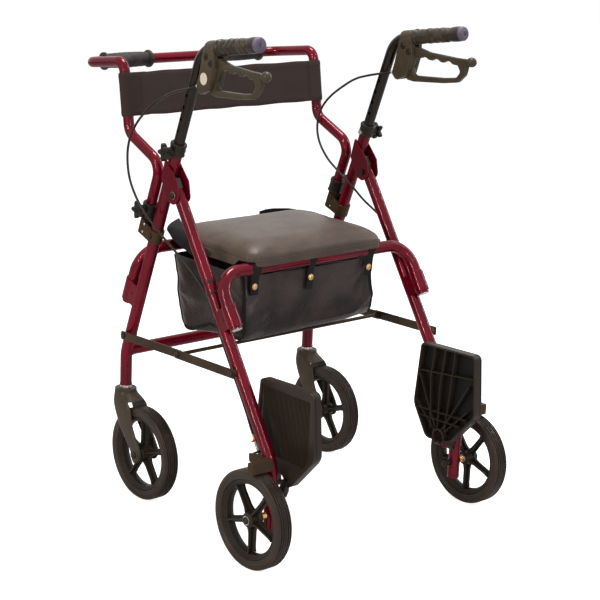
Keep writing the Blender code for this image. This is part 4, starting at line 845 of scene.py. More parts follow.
def dress(node, slot, parts, turn=None, crease=40):
    """Show these meshes instead of a solid, on the solid's own body."""
    obj = gathered(node + "_look", parts, turn)
    obj.data.set_sharp_from_angle(angle=radians(crease))
    even = obj.modifiers.new("even shading", "WEIGHTED_NORMAL")
    even.keep_sharp = True
    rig.ride(obj, frame["nodes"][node]["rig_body"])
    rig.replaces(obj, node)
    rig.slot(obj, slot)
    return obj


# Repeats by geometry nodes

def new_tree(name, inputs):
    """Geometry tree with named inputs, (name, socket type, default)."""
    tree = bpy.data.node_groups.new(name, "GeometryNodeTree")
    tree.interface.new_socket("Geometry", in_out="INPUT", socket_type="NodeSocketGeometry")
    tree.interface.new_socket("Geometry", in_out="OUTPUT", socket_type="NodeSocketGeometry")
    for label, kind, default in inputs + [("Finish", "Material", None)]:
        socket = tree.interface.new_socket(label, in_out="INPUT", socket_type="NodeSocket" + kind)
        if default is not None:
            socket.default_value = default
    graph = Graph(tree)
    start = tree.nodes.new("NodeGroupInput")
    values = {socket.name: Value(graph, socket) for socket in start.outputs if socket.name}
    return graph, values


def end_tree(graph, values, instances):
    real = graph.node("GeometryNodeRealizeInstances", inputs={0: instances})
    done = graph.node("GeometryNodeSetMaterial", inputs={"Geometry": real, "Material": values["Finish"]})
    graph.node("NodeGroupOutput", inputs={0: done})
    return graph.tree


def ring_tree():
    """Copies of the given mesh, turned about the x axis by equal steps."""
    graph, values = new_tree("ring of copies", [("Count", "Int", 5), ("Step", "Float", 1.0)])
    points = graph.node("GeometryNodePoints", inputs={"Count": values["Count"]})
    index = graph.node("GeometryNodeInputIndex")
    turn = graph.node("ShaderNodeCombineXYZ", inputs={"X": index * values["Step"]})
    copies = graph.node("GeometryNodeInstanceOnPoints", inputs={
        "Points": points, "Instance": values["Geometry"], "Rotation": turn})
    return end_tree(graph, values, copies)


def row_tree():
    """Copies of the given mesh in a straight row, each one step further."""
    graph, values = new_tree("row of copies", [("Count", "Int", 5), ("Step", "Vector", None)])
    index = graph.node("GeometryNodeInputIndex")
    offset = graph.node("ShaderNodeVectorMath", {"operation": "SCALE"}, {
        0: values["Step"], "Scale": index})
    points = graph.node("GeometryNodePoints", inputs={"Count": values["Count"], "Position": offset})
    copies = graph.node("GeometryNodeInstanceOnPoints", inputs={
        "Points": points, "Instance": values["Geometry"]})
    return end_tree(graph, values, copies)


def stitch_tree():
    """Short threads in a row along the given line of edges."""
    graph, values = new_tree("row of stitches", [
        ("Pitch", "Float", 0.004), ("Length", "Float", 0.0026), ("Thick", "Float", 0.0004)])
    line = graph.node("GeometryNodeMeshToCurve", inputs={0: values["Geometry"]})
    spots = graph.node("GeometryNodeResampleCurve", {"mode": "LENGTH"}, {
        "Curve": line, "Length": values["Pitch"]})
    points = graph.node("GeometryNodeCurveToPoints", {"mode": "EVALUATED"}, {0: spots})
    turn = graph.node("FunctionNodeAlignRotationToVector", {"axis": "Z"}, {
        "Vector": graph.node("GeometryNodeInputTangent")})
    thread = graph.node("GeometryNodeMeshIcoSphere", inputs={"Radius": 1.0, "Subdivisions": 2})
    size = graph.node("ShaderNodeCombineXYZ", inputs={
        "X": values["Thick"], "Y": values["Thick"], "Z": values["Length"] * 0.5})
    spaced = graph.node("GeometryNodeInstanceOnPoints", inputs={
        "Points": points, "Instance": thread, "Rotation": turn, "Scale": size})
    return end_tree(graph, values, spaced)


def coil_tree():
    """Wire wound in a coil that rises along z from the origin."""
    graph, values = new_tree("wound coil", [
        ("Turns", "Float", 8.0), ("Radius", "Float", 0.0042), ("Height", "Float", 0.0165),
        ("Wire", "Float", 0.0006)])
    line = graph.node("GeometryNodeCurveSpiral", inputs={
        "Resolution": 24, "Rotations": values["Turns"], "Start Radius": values["Radius"],
        "End Radius": values["Radius"], "Height": values["Height"]})
    section = graph.node("GeometryNodeCurvePrimitiveCircle", {"mode": "RADIUS"}, {
        "Resolution": 10, "Radius": values["Wire"]})
    wire = graph.node("GeometryNodeCurveToMesh", inputs={
        "Curve": line, "Profile Curve": section, "Fill Caps": True})
    return end_tree(graph, values, wire)


RING = ring_tree()
ROW = row_tree()
STITCHES = stitch_tree()
COIL = coil_tree()


def grown(tree, mesh, finish, **sizes):
    """Plain mesh that a geometry tree makes from a mesh and its named inputs."""
    obj = held(mesh)
    modifier = obj.modifiers.new("grown", "NODES")
    modifier.node_group = tree
    for item in tree.interface.items_tree:
        if item.name in sizes:
            modifier[item.identifier] = sizes[item.name]
        if item.name == "Finish":
            modifier[item.identifier] = finish
    return settled(obj)


def line_mesh(points):
    """Mesh of edges along a list of points."""
    mesh = bpy.data.meshes.new("line")
    mesh.from_pydata([tuple(p) for p in points], [(i, i + 1) for i in range(len(points) - 1)], [])
    return mesh


def stitched(points, pitch, length, thick):
    return grown(STITCHES, line_mesh(points), THREAD, Pitch=pitch, Length=length, Thick=thick)


# Legs and their sockets

def front_leg_y(z):
    return CASTER_Y + (z - FRONT_BEND_Z) * tan(FRONT_LEAN)


def front_leg_point(z):
    return (front_leg_y(z), z)


def front_leg_path(x):
    return fillet([(at(x, (CASTER_Y, FRONT_LEG_BOTTOM)), 0),
                   (at(x, (CASTER_Y, FRONT_BEND_Z)), FRONT_BEND_R),
                   (at(x, front_leg_point(FRONT_LEG_TOP)), 0)], step=radians(4))


def rear_leg_path(x):
    corner_z = FOLD[1] - (FOLD[0] - REAR_AXLE_Y) / tan(REAR_LEAN)
    return fillet([(at(x, slanted(FOLD, REAR_LEAN, REAR_LEG_ABOVE)), 0),
                   (at(x, (REAR_AXLE_Y, corner_z)), REAR_BEND_R),
                   (at(x, (REAR_AXLE_Y, REAR_LEG_BOTTOM)), 0)], step=radians(5))


def front_socket():
    return slanted(front_leg_point(FRONT_SOCKET_Z), FRONT_LEAN, 0, FRONT_SOCKET_OFFSET)


def rear_socket():
    return slanted(FOLD, REAR_LEAN, REAR_SOCKET_T, REAR_SOCKET_OFFSET)


def socket_look(x, s, centre, lean, length, offset):
    """Sleeve for a seat tube, the bent sheet that wraps it to the leg and the rivet of that."""
    up = up_line(lean)
    across = Vector((0, cos(lean), -sin(lean)))
    middle = at(x, centre)
    made = [sleeve(TUBE_R + GAP, SOCKET_R, -length / 2, length / 2, middle, up, 44, 0.0009)]
    cheek = length / 2 - 0.0005
    for half, inner, outer in ((cheek, -0.97, -0.80), (cheek, 0.80, 0.97), (cheek - 0.002, -0.84, 0.84)):
        made.append(plate([[(-half, 0), (half, 0), (half, -offset), (-half, -offset)]],
                          inner * TUBE_R, outer * TUBE_R, 0.0006, up, across, X_AXIS, middle))
    made.append(domed(slanted(centre, lean, 0, -offset * 0.52), x + s * TUBE_R * 0.965, s,
                      0.0035, 0.0018))
    return made


HINGE_PLATE = [(0.028, 0.072, 0.003), (0.040, 0.028, 0.006), (0.020, -0.012, 0.008),
               (0.0, -0.020, 0.012), (-0.0195, -0.009, 0.014), (-0.012, 0.028, 0.006)]


def show_front_leg(side, s):
    """Front leg with its hinge plates, their weld beads, the seat socket and the end ring."""
    x = s * LEG_X
    leg = [sweep(front_leg_path(x), TUBE_R, 32)]
    inner = TUBE_R + GAP
    weld_path = [at(0, front_leg_point(FOLD[1] + 0.024 + 0.006 * k)) for k in range(8)]
    for k in (-1, 1):
        low, high = sorted((x + k * inner, x + k * (inner + SHEET_T)))
        leg.append(plate([outline_from(FOLD, HINGE_PLATE)], low, high))
        bead = [p + X_AXIS * (x + k * (inner - 0.0002)) for p in weld_path]
        leg.append(sweep(bead, 0.0021, 12))
    leg += socket_look(x, s, front_socket(), FRONT_LEAN, FRONT_SOCKET_LENGTH, FRONT_SOCKET_OFFSET)
    leg.append(lathe([(0.004, 0.0), (TUBE_R - 0.001, 0.0), (TUBE_R + 0.0007, 0.0009),
                      (TUBE_R + 0.0007, 0.0032), (TUBE_R - 0.001, 0.0045), (0.004, 0.0045)],
                     (x, CASTER_Y, FRONT_LEG_BOTTOM), Z_AXIS, 36))
    rivet = domed(front_leg_point(FRONT_LINK_Z), x - s * (TUBE_R - 0.0005), -s, 0.0055, 0.0025)
    dress("front_leg_" + side, "burgundy_paint", {PAINT: leg, DARK_STEEL: [rivet]})


def show_crossbar():
    """Cross tube between the front legs, with a weld bead round each end."""
    y, z = CASTER_Y - 0.001, FRONT_BEND_Z + 0.004
    reach = LEG_X - 0.004
    made = [carve(cross_rod(-reach, reach, (y, z), TUBE_R, 32),
                  *[sweep(front_leg_path(s * LEG_X), TUBE_R + GAP, 32) for s in SIDES.values()])]
    for s in SIDES.values():
        ring = []
        for k in range(33):
            angle = 2 * pi * k / 32
            depth = TUBE_R * abs(cos(angle))
            ring.append(Vector((s * (LEG_X - depth - 0.0014), y + sin(angle) * TUBE_R,
                                z + cos(angle) * TUBE_R)))
        made.append(sweep(ring, 0.0016, 10))
    dress("front_crossbar", "burgundy_paint", {PAINT: made})


def stop_point(t, off=STOP_OFFSET):
    """(y, z) at t above the brake cable's stop, off to the front of the rear leg's line."""
    return slanted(FOLD, REAR_LEAN, STOP_T + t, off)


def show_rear_leg(side, s):
    """Rear leg with its plug, seat socket, cable stop, barrel adjuster, foot and hinge stub."""
    x = s * LEG_X
    hinge_x, hinge_z = PLATE_HINGE
    notch = sweep([at(x, front_leg_point(FOLD[1] + rise)) for rise in (-0.08, 0.09)], TUBE_R + GAP, 32)
    above = [at(x, slanted(FOLD, REAR_LEAN, t)) for t in (0.010, REAR_LEG_ABOVE + 0.0006)]
    plug = carve(sweep(above, TUBE_R + 0.00025, 32), notch)
    leg = [carve(sweep(rear_leg_path(x), TUBE_R, 32), notch),
           cross_rod(s * (hinge_x - 0.004), x, (HANGER_Y, hinge_z), 0.008, 28, 0.001)]
    leg += socket_look(x, s, rear_socket(), REAR_LEAN, REAR_SOCKET_LENGTH, REAR_SOCKET_OFFSET)
    half = 0.0015
    top, root = STOP_OFFSET + 0.0055, TUBE_R - 0.003
    corners = [(-half, top), (half, top), (half, root), (-half, root)]
    tab = plate([[stop_point(*corner) for corner in corners]],
                s * CABLE_X - 0.006, s * CABLE_X + 0.006, 0.0005)
    down = -up_line(REAR_LEAN)
    nut_base = at(s * CABLE_X, stop_point(half))
    barrel = lathe([(0, 0), (0.0046, 0), (0.0046, -0.004), (0.0034, -0.0045), (0.0036, -0.0115),
                    (0, -0.0115)], nut_base, down, 6, 0.0003)
    below = disc(0.0035, 0, 0.0030, at(s * CABLE_X, stop_point(-half)), down, 20)
    cap = lathe([(0, -0.0118), (0.0033, -0.0118), (0.0029, -0.0142), (0, -0.0142)], nut_base, down, 20)
    foot = lathe([(0, 0.004), (TUBE_R - 0.0005, 0.004), (TUBE_R + 0.0004, 0.002),
                  (TUBE_R - 0.0008, -0.0022), (TUBE_R * 0.7, -0.0040), (0, -0.0044)],
                 (x, REAR_AXLE_Y, REAR_LEG_BOTTOM + 0.0045), Z_AXIS, 36)
    ends = [(s * hinge_x, HANGER_Y + reach, hinge_z) for reach in (-0.0293, 0.0293)]
    dress("rear_leg_" + side, "burgundy_paint", {
        PAINT: leg, PLUG: [plug], RED_TAB: [tab], BRASS: [barrel, below],
        KNOB: [foot, cap] + (cable_ties(x) if s < 0 else []), DARK_STEEL: [rod(*ends, PIN_R, 20)]})


def cable_ties(x):
    """Tie round the leg and the little clip under it, which hold the brake cable."""
    tie_t, clip_t = -0.1895, -0.2130
    made = [sleeve(TUBE_R - 0.0005, TUBE_R + 0.0011, -width / 2, width / 2,
                   at(x, slanted(FOLD, REAR_LEAN, t)), up_line(REAR_LEAN), 40, 0.0003)
            for t, width in ((tie_t, 0.0045), (clip_t, 0.0040))]
    centre = at(x + 0.003, slanted(FOLD, REAR_LEAN, tie_t, TUBE_R + 0.0016))
    made.append(box_between(centre - Vector((0.004, 0.0025, 0.003)),
                            centre + Vector((0.004, 0.0035, 0.003))))
    return made


def seat_run(socket, lean, run_z):
    return slanted(socket, lean, (run_z - socket[1]) / cos(lean))


def show_seat_tube(node, socket, lean, length, run_z):
    """Seat tube bent at both sides, with a plug in each end."""
    foot = slanted(socket, lean, -length / 2 - 0.006)
    corner = seat_run(socket, lean, run_z)
    path = fillet([(at(-LEG_X, foot), 0), (at(-LEG_X, corner), SEAT_BEND_R),
                   (at(LEG_X, corner), SEAT_BEND_R), (at(LEG_X, foot), 0)], step=radians(6))
    plugs = [disc(TUBE_R - 0.0004, -0.0006, 0.002, at(s * LEG_X, foot), up_line(lean))
             for s in SIDES.values()]
    dress(node, "burgundy_paint", {PAINT: [sweep(path, TUBE_R, 32)], STEEL: plugs})


def show_pivot_bolt(side, s):
    """Fold bolt with its washer, recessed head and nut."""
    base = at(s * LEG_X, FOLD)
    out = X_AXIS * s
    face = TUBE_R + GAP + SHEET_T + GAP
    washer = disc(0.0078, face - 0.0002, face + 0.0010, base, out, 32, 0.0003)
    head = lathe([(0, face), (0.0070, face), (0.0070, face + 0.0032), (0.0055, face + 0.0050),
                  (0.0025, face + 0.0055), (0.0022, face + 0.0040), (0, face + 0.0040)], base, out, 28)
    nut = hex_nut(0.0072, -face - 0.0045, -face, base, out)
    shank = disc(BOLT_R, -face, face, base, X_AXIS, 20)
    dress("pivot_bolt_" + side, "steel", {STEEL: [washer, shank], DARK_STEEL: [head, nut]})


# Fold links

def rear_link_pin():
    return slanted(FOLD, REAR_LEAN, REAR_LINK_T)


def show_link(node, s, pin, layer, has_middle_bolt):
    """Flat link with square ends, from its leg's pin to the middle rod, with its bolts."""
    start, end = Vector(pin), Vector(LINK_MIDDLE)
    way = (end - start).normalized()
    start, end = start - way * 0.0085, end + way * 0.0085
    across = Vector((-way.y, way.x)) * (LINK_W / 2)
    shape = outline(*[(*point, 0.0028) for point in (
        start - across, end - across, end + across, start + across)])
    bar = plate([shape], *sided(s, layer, layer + LINK_T), 0.0007)
    outer = s * (layer + LINK_T)
    shank = cross_rod(s * (LEG_X + 0.0045), outer, pin, PIN_R, 20)
    spacer = cross_rod(s * (LEG_X + TUBE_R + GAP), s * (layer + 0.0005), pin, 0.0075)
    bolts = [pin] + ([LINK_MIDDLE] if has_middle_bolt else [])
    heads = [domed(point, outer, s, 0.0062, 0.0044) for point in bolts]
    washers = [cross_rod(outer - s * 0.0004, outer + s * 0.0007, point, 0.0078, 28, 0.0003)
               for point in bolts]
    dress(node, "black_steel", {LINK_BLACK: [bar, spacer], DARK_STEEL: heads + washers + [shank]})


def show_link_rod():
    end = INNER_LAYER_X - GAP
    nuts = [hex_nut(0.0068, end - 0.0045, end, at(0, LINK_MIDDLE), X_AXIS * s) for s in SIDES.values()]
    dress("link_rod", "black_steel", {
        LINK_BLACK: [cross_rod(-end, end, LINK_MIDDLE, 0.004, 24)], DARK_STEEL: nuts})


# Handles

def toe(s):
    """Turn of a handle about its leg's axis."""
    pivot = at(s * LEG_X, front_leg_point(HANDLE_TOP))
    turn = Quaternion(up_line(FRONT_LEAN), s * HANDLE_TOE).to_matrix().to_4x4()
    return Matrix.Translation(pivot) @ turn @ Matrix.Translation(-pivot)


def grip_point(y):
    return (y, HANDLE_CORNER_Z + (front_leg_y(HANDLE_CORNER_Z) - y) * tan(GRIP_RISE))


def handle_path(x):
    foot = slanted(front_leg_point(HANDLE_TOP), FRONT_LEAN, -HANDLE_INSERT)
    return fillet([(at(x, foot), 0), (at(x, front_leg_point(HANDLE_CORNER_Z)), HANDLE_BEND_R),
                   (at(x, grip_point(GRIP_END_Y + 0.008)), 0)], step=radians(5))


def show_handle_tube(side, s):
    """Telescoping tube with its row of height holes."""
    x = s * LEG_X
    first = at(x, front_leg_point(FIRST_HOLE_Z))
    holes = [disc(HOLE_R, -0.02, 0.02, first + up_line(FRONT_LEAN) * (HOLE_PITCH * k), X_AXIS, 18)
             for k in range(4)]
    tube = carve(sweep(handle_path(x), SLIDING_TUBE_R, 32), *holes)
    dress("handle_tube_" + side, "black_steel", {GLOSS_BLACK: [tube]}, toe(s))


def bump_at(value, middle, width):
    return exp(-((value - middle) / width) ** 2)


def grip_radius(t, angle):
    """Radius of the grip at t from its flange to its end. Angle 0 points outwards."""
    outer = 0.5 + 0.5 * cos(angle)
    outer = outer * outer * (3 - 2 * outer)
    radius = GRIP_R - 0.0012
    radius += 0.0024 * bump_at(t, 0.018, 0.020) - 0.0010 * bump_at(t, 0.062, 0.016)
    ridges = sum(bump_at(t, middle, 0.052) for middle in (0.135, 0.305, 0.445, 0.585))
    furrows = sum(bump_at(t, middle, 0.014) for middle in (0.235, 0.375, 0.515, 0.655))
    radius += (0.0014 * ridges - 0.0024 * furrows) * (0.25 + 0.75 * outer)
    slant = 0.30 + 0.42 * (0.5 - 0.5 * sin(angle))
    radius += 0.0017 * bump_at(t, slant, 0.080) * (1 - outer)
    radius -= 0.0034 * bump_at(t, 0.762, 0.028) * (0.35 + 0.65 * outer)
    radius += 0.0009 * bump_at(t, 0.900, 0.080)
    return radius - 0.0022 * max(0.0, (t - 0.975) / 0.025) ** 2


def show_grip(side, s):
    """Shaped grip: finger ridges round its outer side, a long slanting ridge inside."""
    length = (GRIP_START_Y - GRIP_END_Y) / cos(GRIP_RISE)
    axis = Vector((0, -cos(GRIP_RISE), sin(GRIP_RISE)))
    upright = Vector((0, sin(GRIP_RISE), cos(GRIP_RISE)))
    base = at(s * LEG_X, grip_point(GRIP_START_Y))
    barrel = length - 0.0075
    rows = 132
    count = 56
    verts = []
    for i in range(rows + 1):
        for k in range(count):
            angle = 2 * pi * k / count
            out = X_AXIS * (s * cos(angle)) + upright * sin(angle)
            verts.append(base + axis * (barrel * i / rows) + out * grip_radius(i / rows, angle))
    faces = quads(rows + 1, count)
    middle, last = len(verts), rows * count
    verts += [base, base + axis * barrel]
    for k in range(count):
        nxt = (k + 1) % count
        faces += [(middle, nxt, k), (last + k, last + nxt, middle + 1)]
    bore = disc(SLIDING_TUBE_R + GAP, -0.01, barrel - 0.004, base, axis, 32)
    ring = lathe([(0, length - 0.0085), (GRIP_R - 0.0012, length - 0.0085),
                  (GRIP_R - 0.0012, length - 0.0030), (GRIP_R - 0.0038, length), (0.0050, length),
                  (0.0036, length - 0.0020), (0, length - 0.0022)], base, axis, 44, 0.0010)
    dress("grip_" + side, "grip_rubber",
          {GRIP: [carve(shell(verts, faces), bore)], GRIP_END: [ring]}, toe(s))


HOUSING_RIM = [(-0.0885, 0.986, 0.006), (-0.054, 0.980, 0.010), (-0.043, 0.930, 0.02),
               (-0.035, 0.904, 0.008), (-0.048, 0.890, 0.008), (-0.078, 0.903, 0.014),
               (-0.0925, 0.950, 0.02)]

HOUSING_SCREWS = [(-0.066, 0.965), (-0.082, 0.954)]


def show_housing(side, s):
    """Brake housing with its lever slot, clamp, screws, bare badge and ferrule."""
    x = s * LEG_X
    body = plate([outline(*HOUSING_RIM)], x - HOUSING_HALF_WIDTH, x + HOUSING_HALF_WIDTH, 0.0036)
    slot = 0.0066
    cutters = [box_between((x - slot, -0.12, 0.87), (x + slot, -0.053, 0.9705), 0.0008, 1)]
    screws = []
    for face in (-1, 1):
        for point in HOUSING_SCREWS:
            outer = at(x + face * HOUSING_HALF_WIDTH, point)
            cutters.append(disc(0.0070, -0.0024, 0.004, outer, X_AXIS * face))
            screws.append(lathe([(0, -0.004), (0.0064, -0.004), (0.0064, -0.0018), (0.0052, 0.0004),
                                 (0.0036, 0.0011), (0.0026, 0.0010), (0.0024, -0.0010),
                                 (0, -0.0010)], outer, X_AXIS * face, 28, 0.0003))
    base = at(x, grip_point(-0.054))
    axis = at(x, grip_point(GRIP_START_Y + 0.0006)) - base
    bore, length = SLIDING_TUBE_R + GAP, axis.length
    clamp = lathe([(bore, 0), (0.0150, 0), (0.0158, 0.004), (0.0158, length - 0.009),
                   (0.0146, length - 0.008), (0.0146, length - 0.005), (0.0160, length - 0.004),
                   (0.0160, length), (bore, length)], base, axis, 44, 0.0008)
    y, z = LEVER_PIVOT
    face = at(x + s * (HOUSING_HALF_WIDTH - 0.0008), (y + 0.0155, z - 0.032))
    badge = lathe([(0, 0), (0.0122, 0), (0.0122, 0.0016), (0.0105, 0.0023), (0, 0.0025)],
                  face, X_AXIS * s, 40, 0.0006)
    rim = lathe([(0.0115, 0), (0.0136, 0), (0.0134, 0.0018), (0.0122, 0.0018)],
                face, X_AXIS * s, 40, 0.0004)
    ferrule = lathe([(0, -0.020), (0.0037, -0.020), (0.0037, -0.0085), (0.0028, -0.0080),
                     (0.0028, -0.0062), (0.0040, -0.0055), (0.0036, -0.0008), (0.0030, 0), (0, 0)],
                    at(x - FERRULE_OFFSET, FERRULE_END), FERRULE_WAY, 28, 0.0003)
    reach = HOUSING_HALF_WIDTH - 0.003
    dress("brake_housing_" + side, "black_plastic", {
        HOUSING: [carve(body, *cutters), clamp, rim], KNOB: screws,
        DARK_STEEL: [cross_rod(x - reach, x + reach, LEVER_PIVOT, 0.0025, 20)],
        BADGE: [badge], FERRULE: [ferrule]}, toe(s))


LEVER_RIM = [(-0.066, 0.963, 0.005), (-0.089, 0.966, 0.010), (-0.128, 0.957, 0.03),
             (-0.200, 0.9535, 0.03), (-0.230, 0.9535, 0.006), (-0.2310, 0.938, 0.006),
             (-0.2265, 0.920, 0.012), (-0.209, 0.9035, 0.014), (-0.170, 0.8975, 0.04),
             (-0.088, 0.891, 0.010), (-0.068, 0.893, 0.006), (-0.0635, 0.925, 0.02)]

LEVER_LOOP_END = [(-0.2145, 0.926, 0.007), (-0.203, 0.913, 0.007), (-0.170, 0.9085, 0.03),
                  (-0.088, 0.904, 0.010), (-0.083, 0.922, 0.012)]

FINGER_R = 0.0165


def show_lever(side, s):
    """Loop lever with three finger scallops and a ball end."""
    x = s * LEG_X
    half = 0.006
    top = []
    for k in range(39):
        y = -0.092 - 0.003 * k
        z = 0.9425 - 0.004 * k / 38
        for j in range(3):
            across = y - (-0.116 - 0.032 * j)
            if abs(across) < FINGER_R:
                z = max(z, 0.9455 - 0.0005 * j - FINGER_R + (FINGER_R ** 2 - across ** 2) ** 0.5)
        top.append((y, z, 0.0))
    blade = plate([outline(*LEVER_RIM), outline(*top, *LEVER_LOOP_END), circle(LEVER_PIVOT, 0.0028)],
                  x - half, x + half, 0.0026)
    ball = [(0.0102 * sin(pi * k / 12), -0.0112 * cos(pi * k / 12)) for k in range(13)]
    knob = lathe(ball, at(x, (-0.2395, 0.9485)), Y_AXIS, 32, 0.0)
    dress("brake_lever_" + side, "black_plastic", {HOUSING: [blade, knob]}, toe(s))


def collar_look(x, s, point, lip, length, knob):
    """Clamping collar down from a point on a leg's line, with the boss for its knob."""
    bore = SLIDING_TUBE_R + GAP
    collar = lathe([(bore, 0), (COLLAR_R - 0.0022, 0), (COLLAR_R, -0.0022), (COLLAR_R, -0.0068),
                    (COLLAR_R - 0.0010, -0.0076), (COLLAR_R - 0.0010, -length + 0.0030),
                    (COLLAR_R, -length + 0.0022), (COLLAR_R, -length), (TUBE_R + GAP, -length),
                    (TUBE_R + GAP, -lip), (bore, -lip)], at(x, point), up_line(FRONT_LEAN), 44)
    return [collar, cross_rod(x + s * (COLLAR_R - 0.003), x + s * KNOB_BOSS, knob, KNOB_BOSS_R, 32, 0.001)]


def show_handle_collar(side, s):
    x = s * LEG_X
    knob = front_leg_point(HANDLE_KNOB_Z)
    parts = collar_look(x, s, front_leg_point(HANDLE_TOP), 0.0071, COLLAR_LENGTH, knob)
    nut = cross_rod(x - s * (COLLAR_R - 0.002), x - s * (COLLAR_R + 0.003), knob, 0.005, 6)
    dress("handle_collar_" + side, "black_plastic", {KNOB: parts, STEEL: [nut]})


def show_knob(node, x, s, yz):
    """Clamping knob with five lobes, a dished face and a bolt."""
    star = []
    for k in range(80):
        angle = 2 * pi * k / 80
        radius = 0.0152 + 0.0040 * cos(5 * angle)
        star.append((radius * cos(angle), radius * sin(angle)))
    foot = KNOB_BOSS + GAP
    centre, out = at(x, yz), X_AXIS * s
    body = plate([star], *sided(s, foot + 0.002, foot + 0.0125), 0.0024, base=centre)
    neck = disc(0.009, foot, KNOB_BOSS + 0.005, centre, out)
    screw = disc(0.0025, SLIDING_TUBE_R + GAP, KNOB_BOSS + 0.002, centre, out, 16)
    cap = lathe([(0, 0.010), (0.0072, 0.010), (0.0068, 0.0140), (0.0048, 0.0144), (0.0044, 0.0128),
                 (0, 0.0128)], centre + out * KNOB_BOSS, out, 28, 0.0004)
    bolt = disc(0.0034, KNOB_BOSS + 0.012, foot + 0.0138, centre, out, 6)
    dress(node, "black_plastic", {KNOB: [body, neck, cap], STEEL: [screw], DARK_STEEL: [bolt]})


# Brake cables

LEFT_LOOP = [(-0.2735, -0.012, 0.8985), (-0.2745, 0.012, 0.8920), (-0.2765, 0.040, 0.8835),
             (-0.2800, 0.070, 0.8690), (-0.2850, 0.101, 0.8480),
             (-0.2935, 0.126, 0.8200), (-0.3005, 0.142, 0.7900), (-0.3040, 0.149, 0.7600),
             (-0.3050, 0.148, 0.7270), (-0.3050, 0.139, 0.6950), (-0.3040, 0.119, 0.6640),
             (-0.3000, 0.096, 0.6370), (-0.2920, 0.064, 0.6070), (-0.2830, 0.022, 0.5750),
             (-0.2740, -0.018, 0.5450), (-0.2650, -0.060, 0.5050)]
RIGHT_LOOP = [(0.2435, -0.012, 0.9000), (0.2425, 0.012, 0.8950), (0.2430, 0.040, 0.8880),
              (0.2450, 0.070, 0.8790), (0.2490, 0.105, 0.8630), (0.2490, 0.156, 0.8290),
              (0.2440, 0.181, 0.7960), (0.2400, 0.187, 0.7590), (0.2370, 0.174, 0.7240),
              (0.2355, 0.143, 0.6920), (0.2360, 0.101, 0.6660), (0.2411, 0.0618, 0.6399),
              (0.2495, 0.0340, 0.6153), (0.2612, 0.0020, 0.5911), (0.2745, -0.0290, 0.5602),
              (0.2790, -0.0570, 0.5220)]


def smooth_route(points, spacing):
    """Points at an even spacing on a smooth curve through the route's own points."""
    knots = [Vector(p) for p in points]
    knots = [2 * knots[0] - knots[1]] + knots + [2 * knots[-1] - knots[-2]]
    fine = []
    for i in range(1, len(knots) - 2):
        a, b, c, d = knots[i - 1:i + 3]
        for k in range(40):
            t = k / 40
            fine.append(0.5 * ((2 * b) + (c - a) * t + (2 * a - 5 * b + 4 * c - d) * t ** 2
                               + (3 * b - a - 3 * c + d) * t ** 3))
    fine.append(knots[-2])
    total = sum((q - p).length for p, q in zip(fine, fine[1:]))
    count = round(total / spacing)
    out = [fine[0]]
    walked = 0.0
    for p, q in zip(fine, fine[1:]):
        walked += (q - p).length
        if walked >= total / count * len(out) - TINY and len(out) < count:
            out.append(q)
    return out + [fine[-1]]


def cable_route(s):
    """Points of a brake cable from the handle's ferrule to the stop on the rear leg."""
    start = Vector((s * LEG_X - FERRULE_OFFSET, *FERRULE_END))
    exits = [toe(s) @ (start + FERRULE_WAY * t) for t in (0.0010, 0.0060)]
    run = [at(s * CABLE_X, slanted(FOLD, REAR_LEAN, t, TUBE_R + CABLE_R + 0.002))
           for t in (-0.245, -0.300, -0.380, -0.450)]
    ends = [at(s * CABLE_X, stop_point(t)) for t in (0.030, 0.0138)]
    loop = [Vector(p) for p in (LEFT_LOOP if s < 0 else RIGHT_LOOP)]
    return smooth_route(exits + loop + run + ends, 0.006)


def show_cable(side, s):
    """Brake cable in two lengths: one bends as the handle slides, one as the frame folds."""
    drawn = cable_route(s)
    route = [p - Y_AXIS * ORIGIN_Y for p in drawn]
    turn = max(range(len(route)), key=lambda i: route[i].y)
    low = min(range(len(route)), key=lambda i: (route[i] - at(s * CABLE_X, CABLE_TURN)).length)
    lengths = [("upper", slice(0, turn + 1), "handle_" + side, "frame", 0, turn),
               ("lower", slice(turn, None), "frame", "rear_frame", turn, low)]
    for part, run, first, second, start, end in lengths:
        path = route[run]
        obj = gathered("brake_cable_%s_%s" % (part, side), {SHEATH: [sweep(drawn[run], CABLE_R, 14)]})
        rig.blend(obj, first, second, route[start], route[end])
        if part == "upper":
            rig.replaces(obj, "brake_cable_" + side)
        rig.slot(obj, "cable_black")
        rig.cord(obj, exit=path[0], length=sum((b - a).length for a, b in zip(path, path[1:])),
                diameter=2 * CABLE_R, far_end="object", stiffness="stiff", lay="hanging", path=path)


# Backrest

def back_knob_point():
    return slanted(BACK_SOCKET, FRONT_LEAN, BACK_KNOB_T)


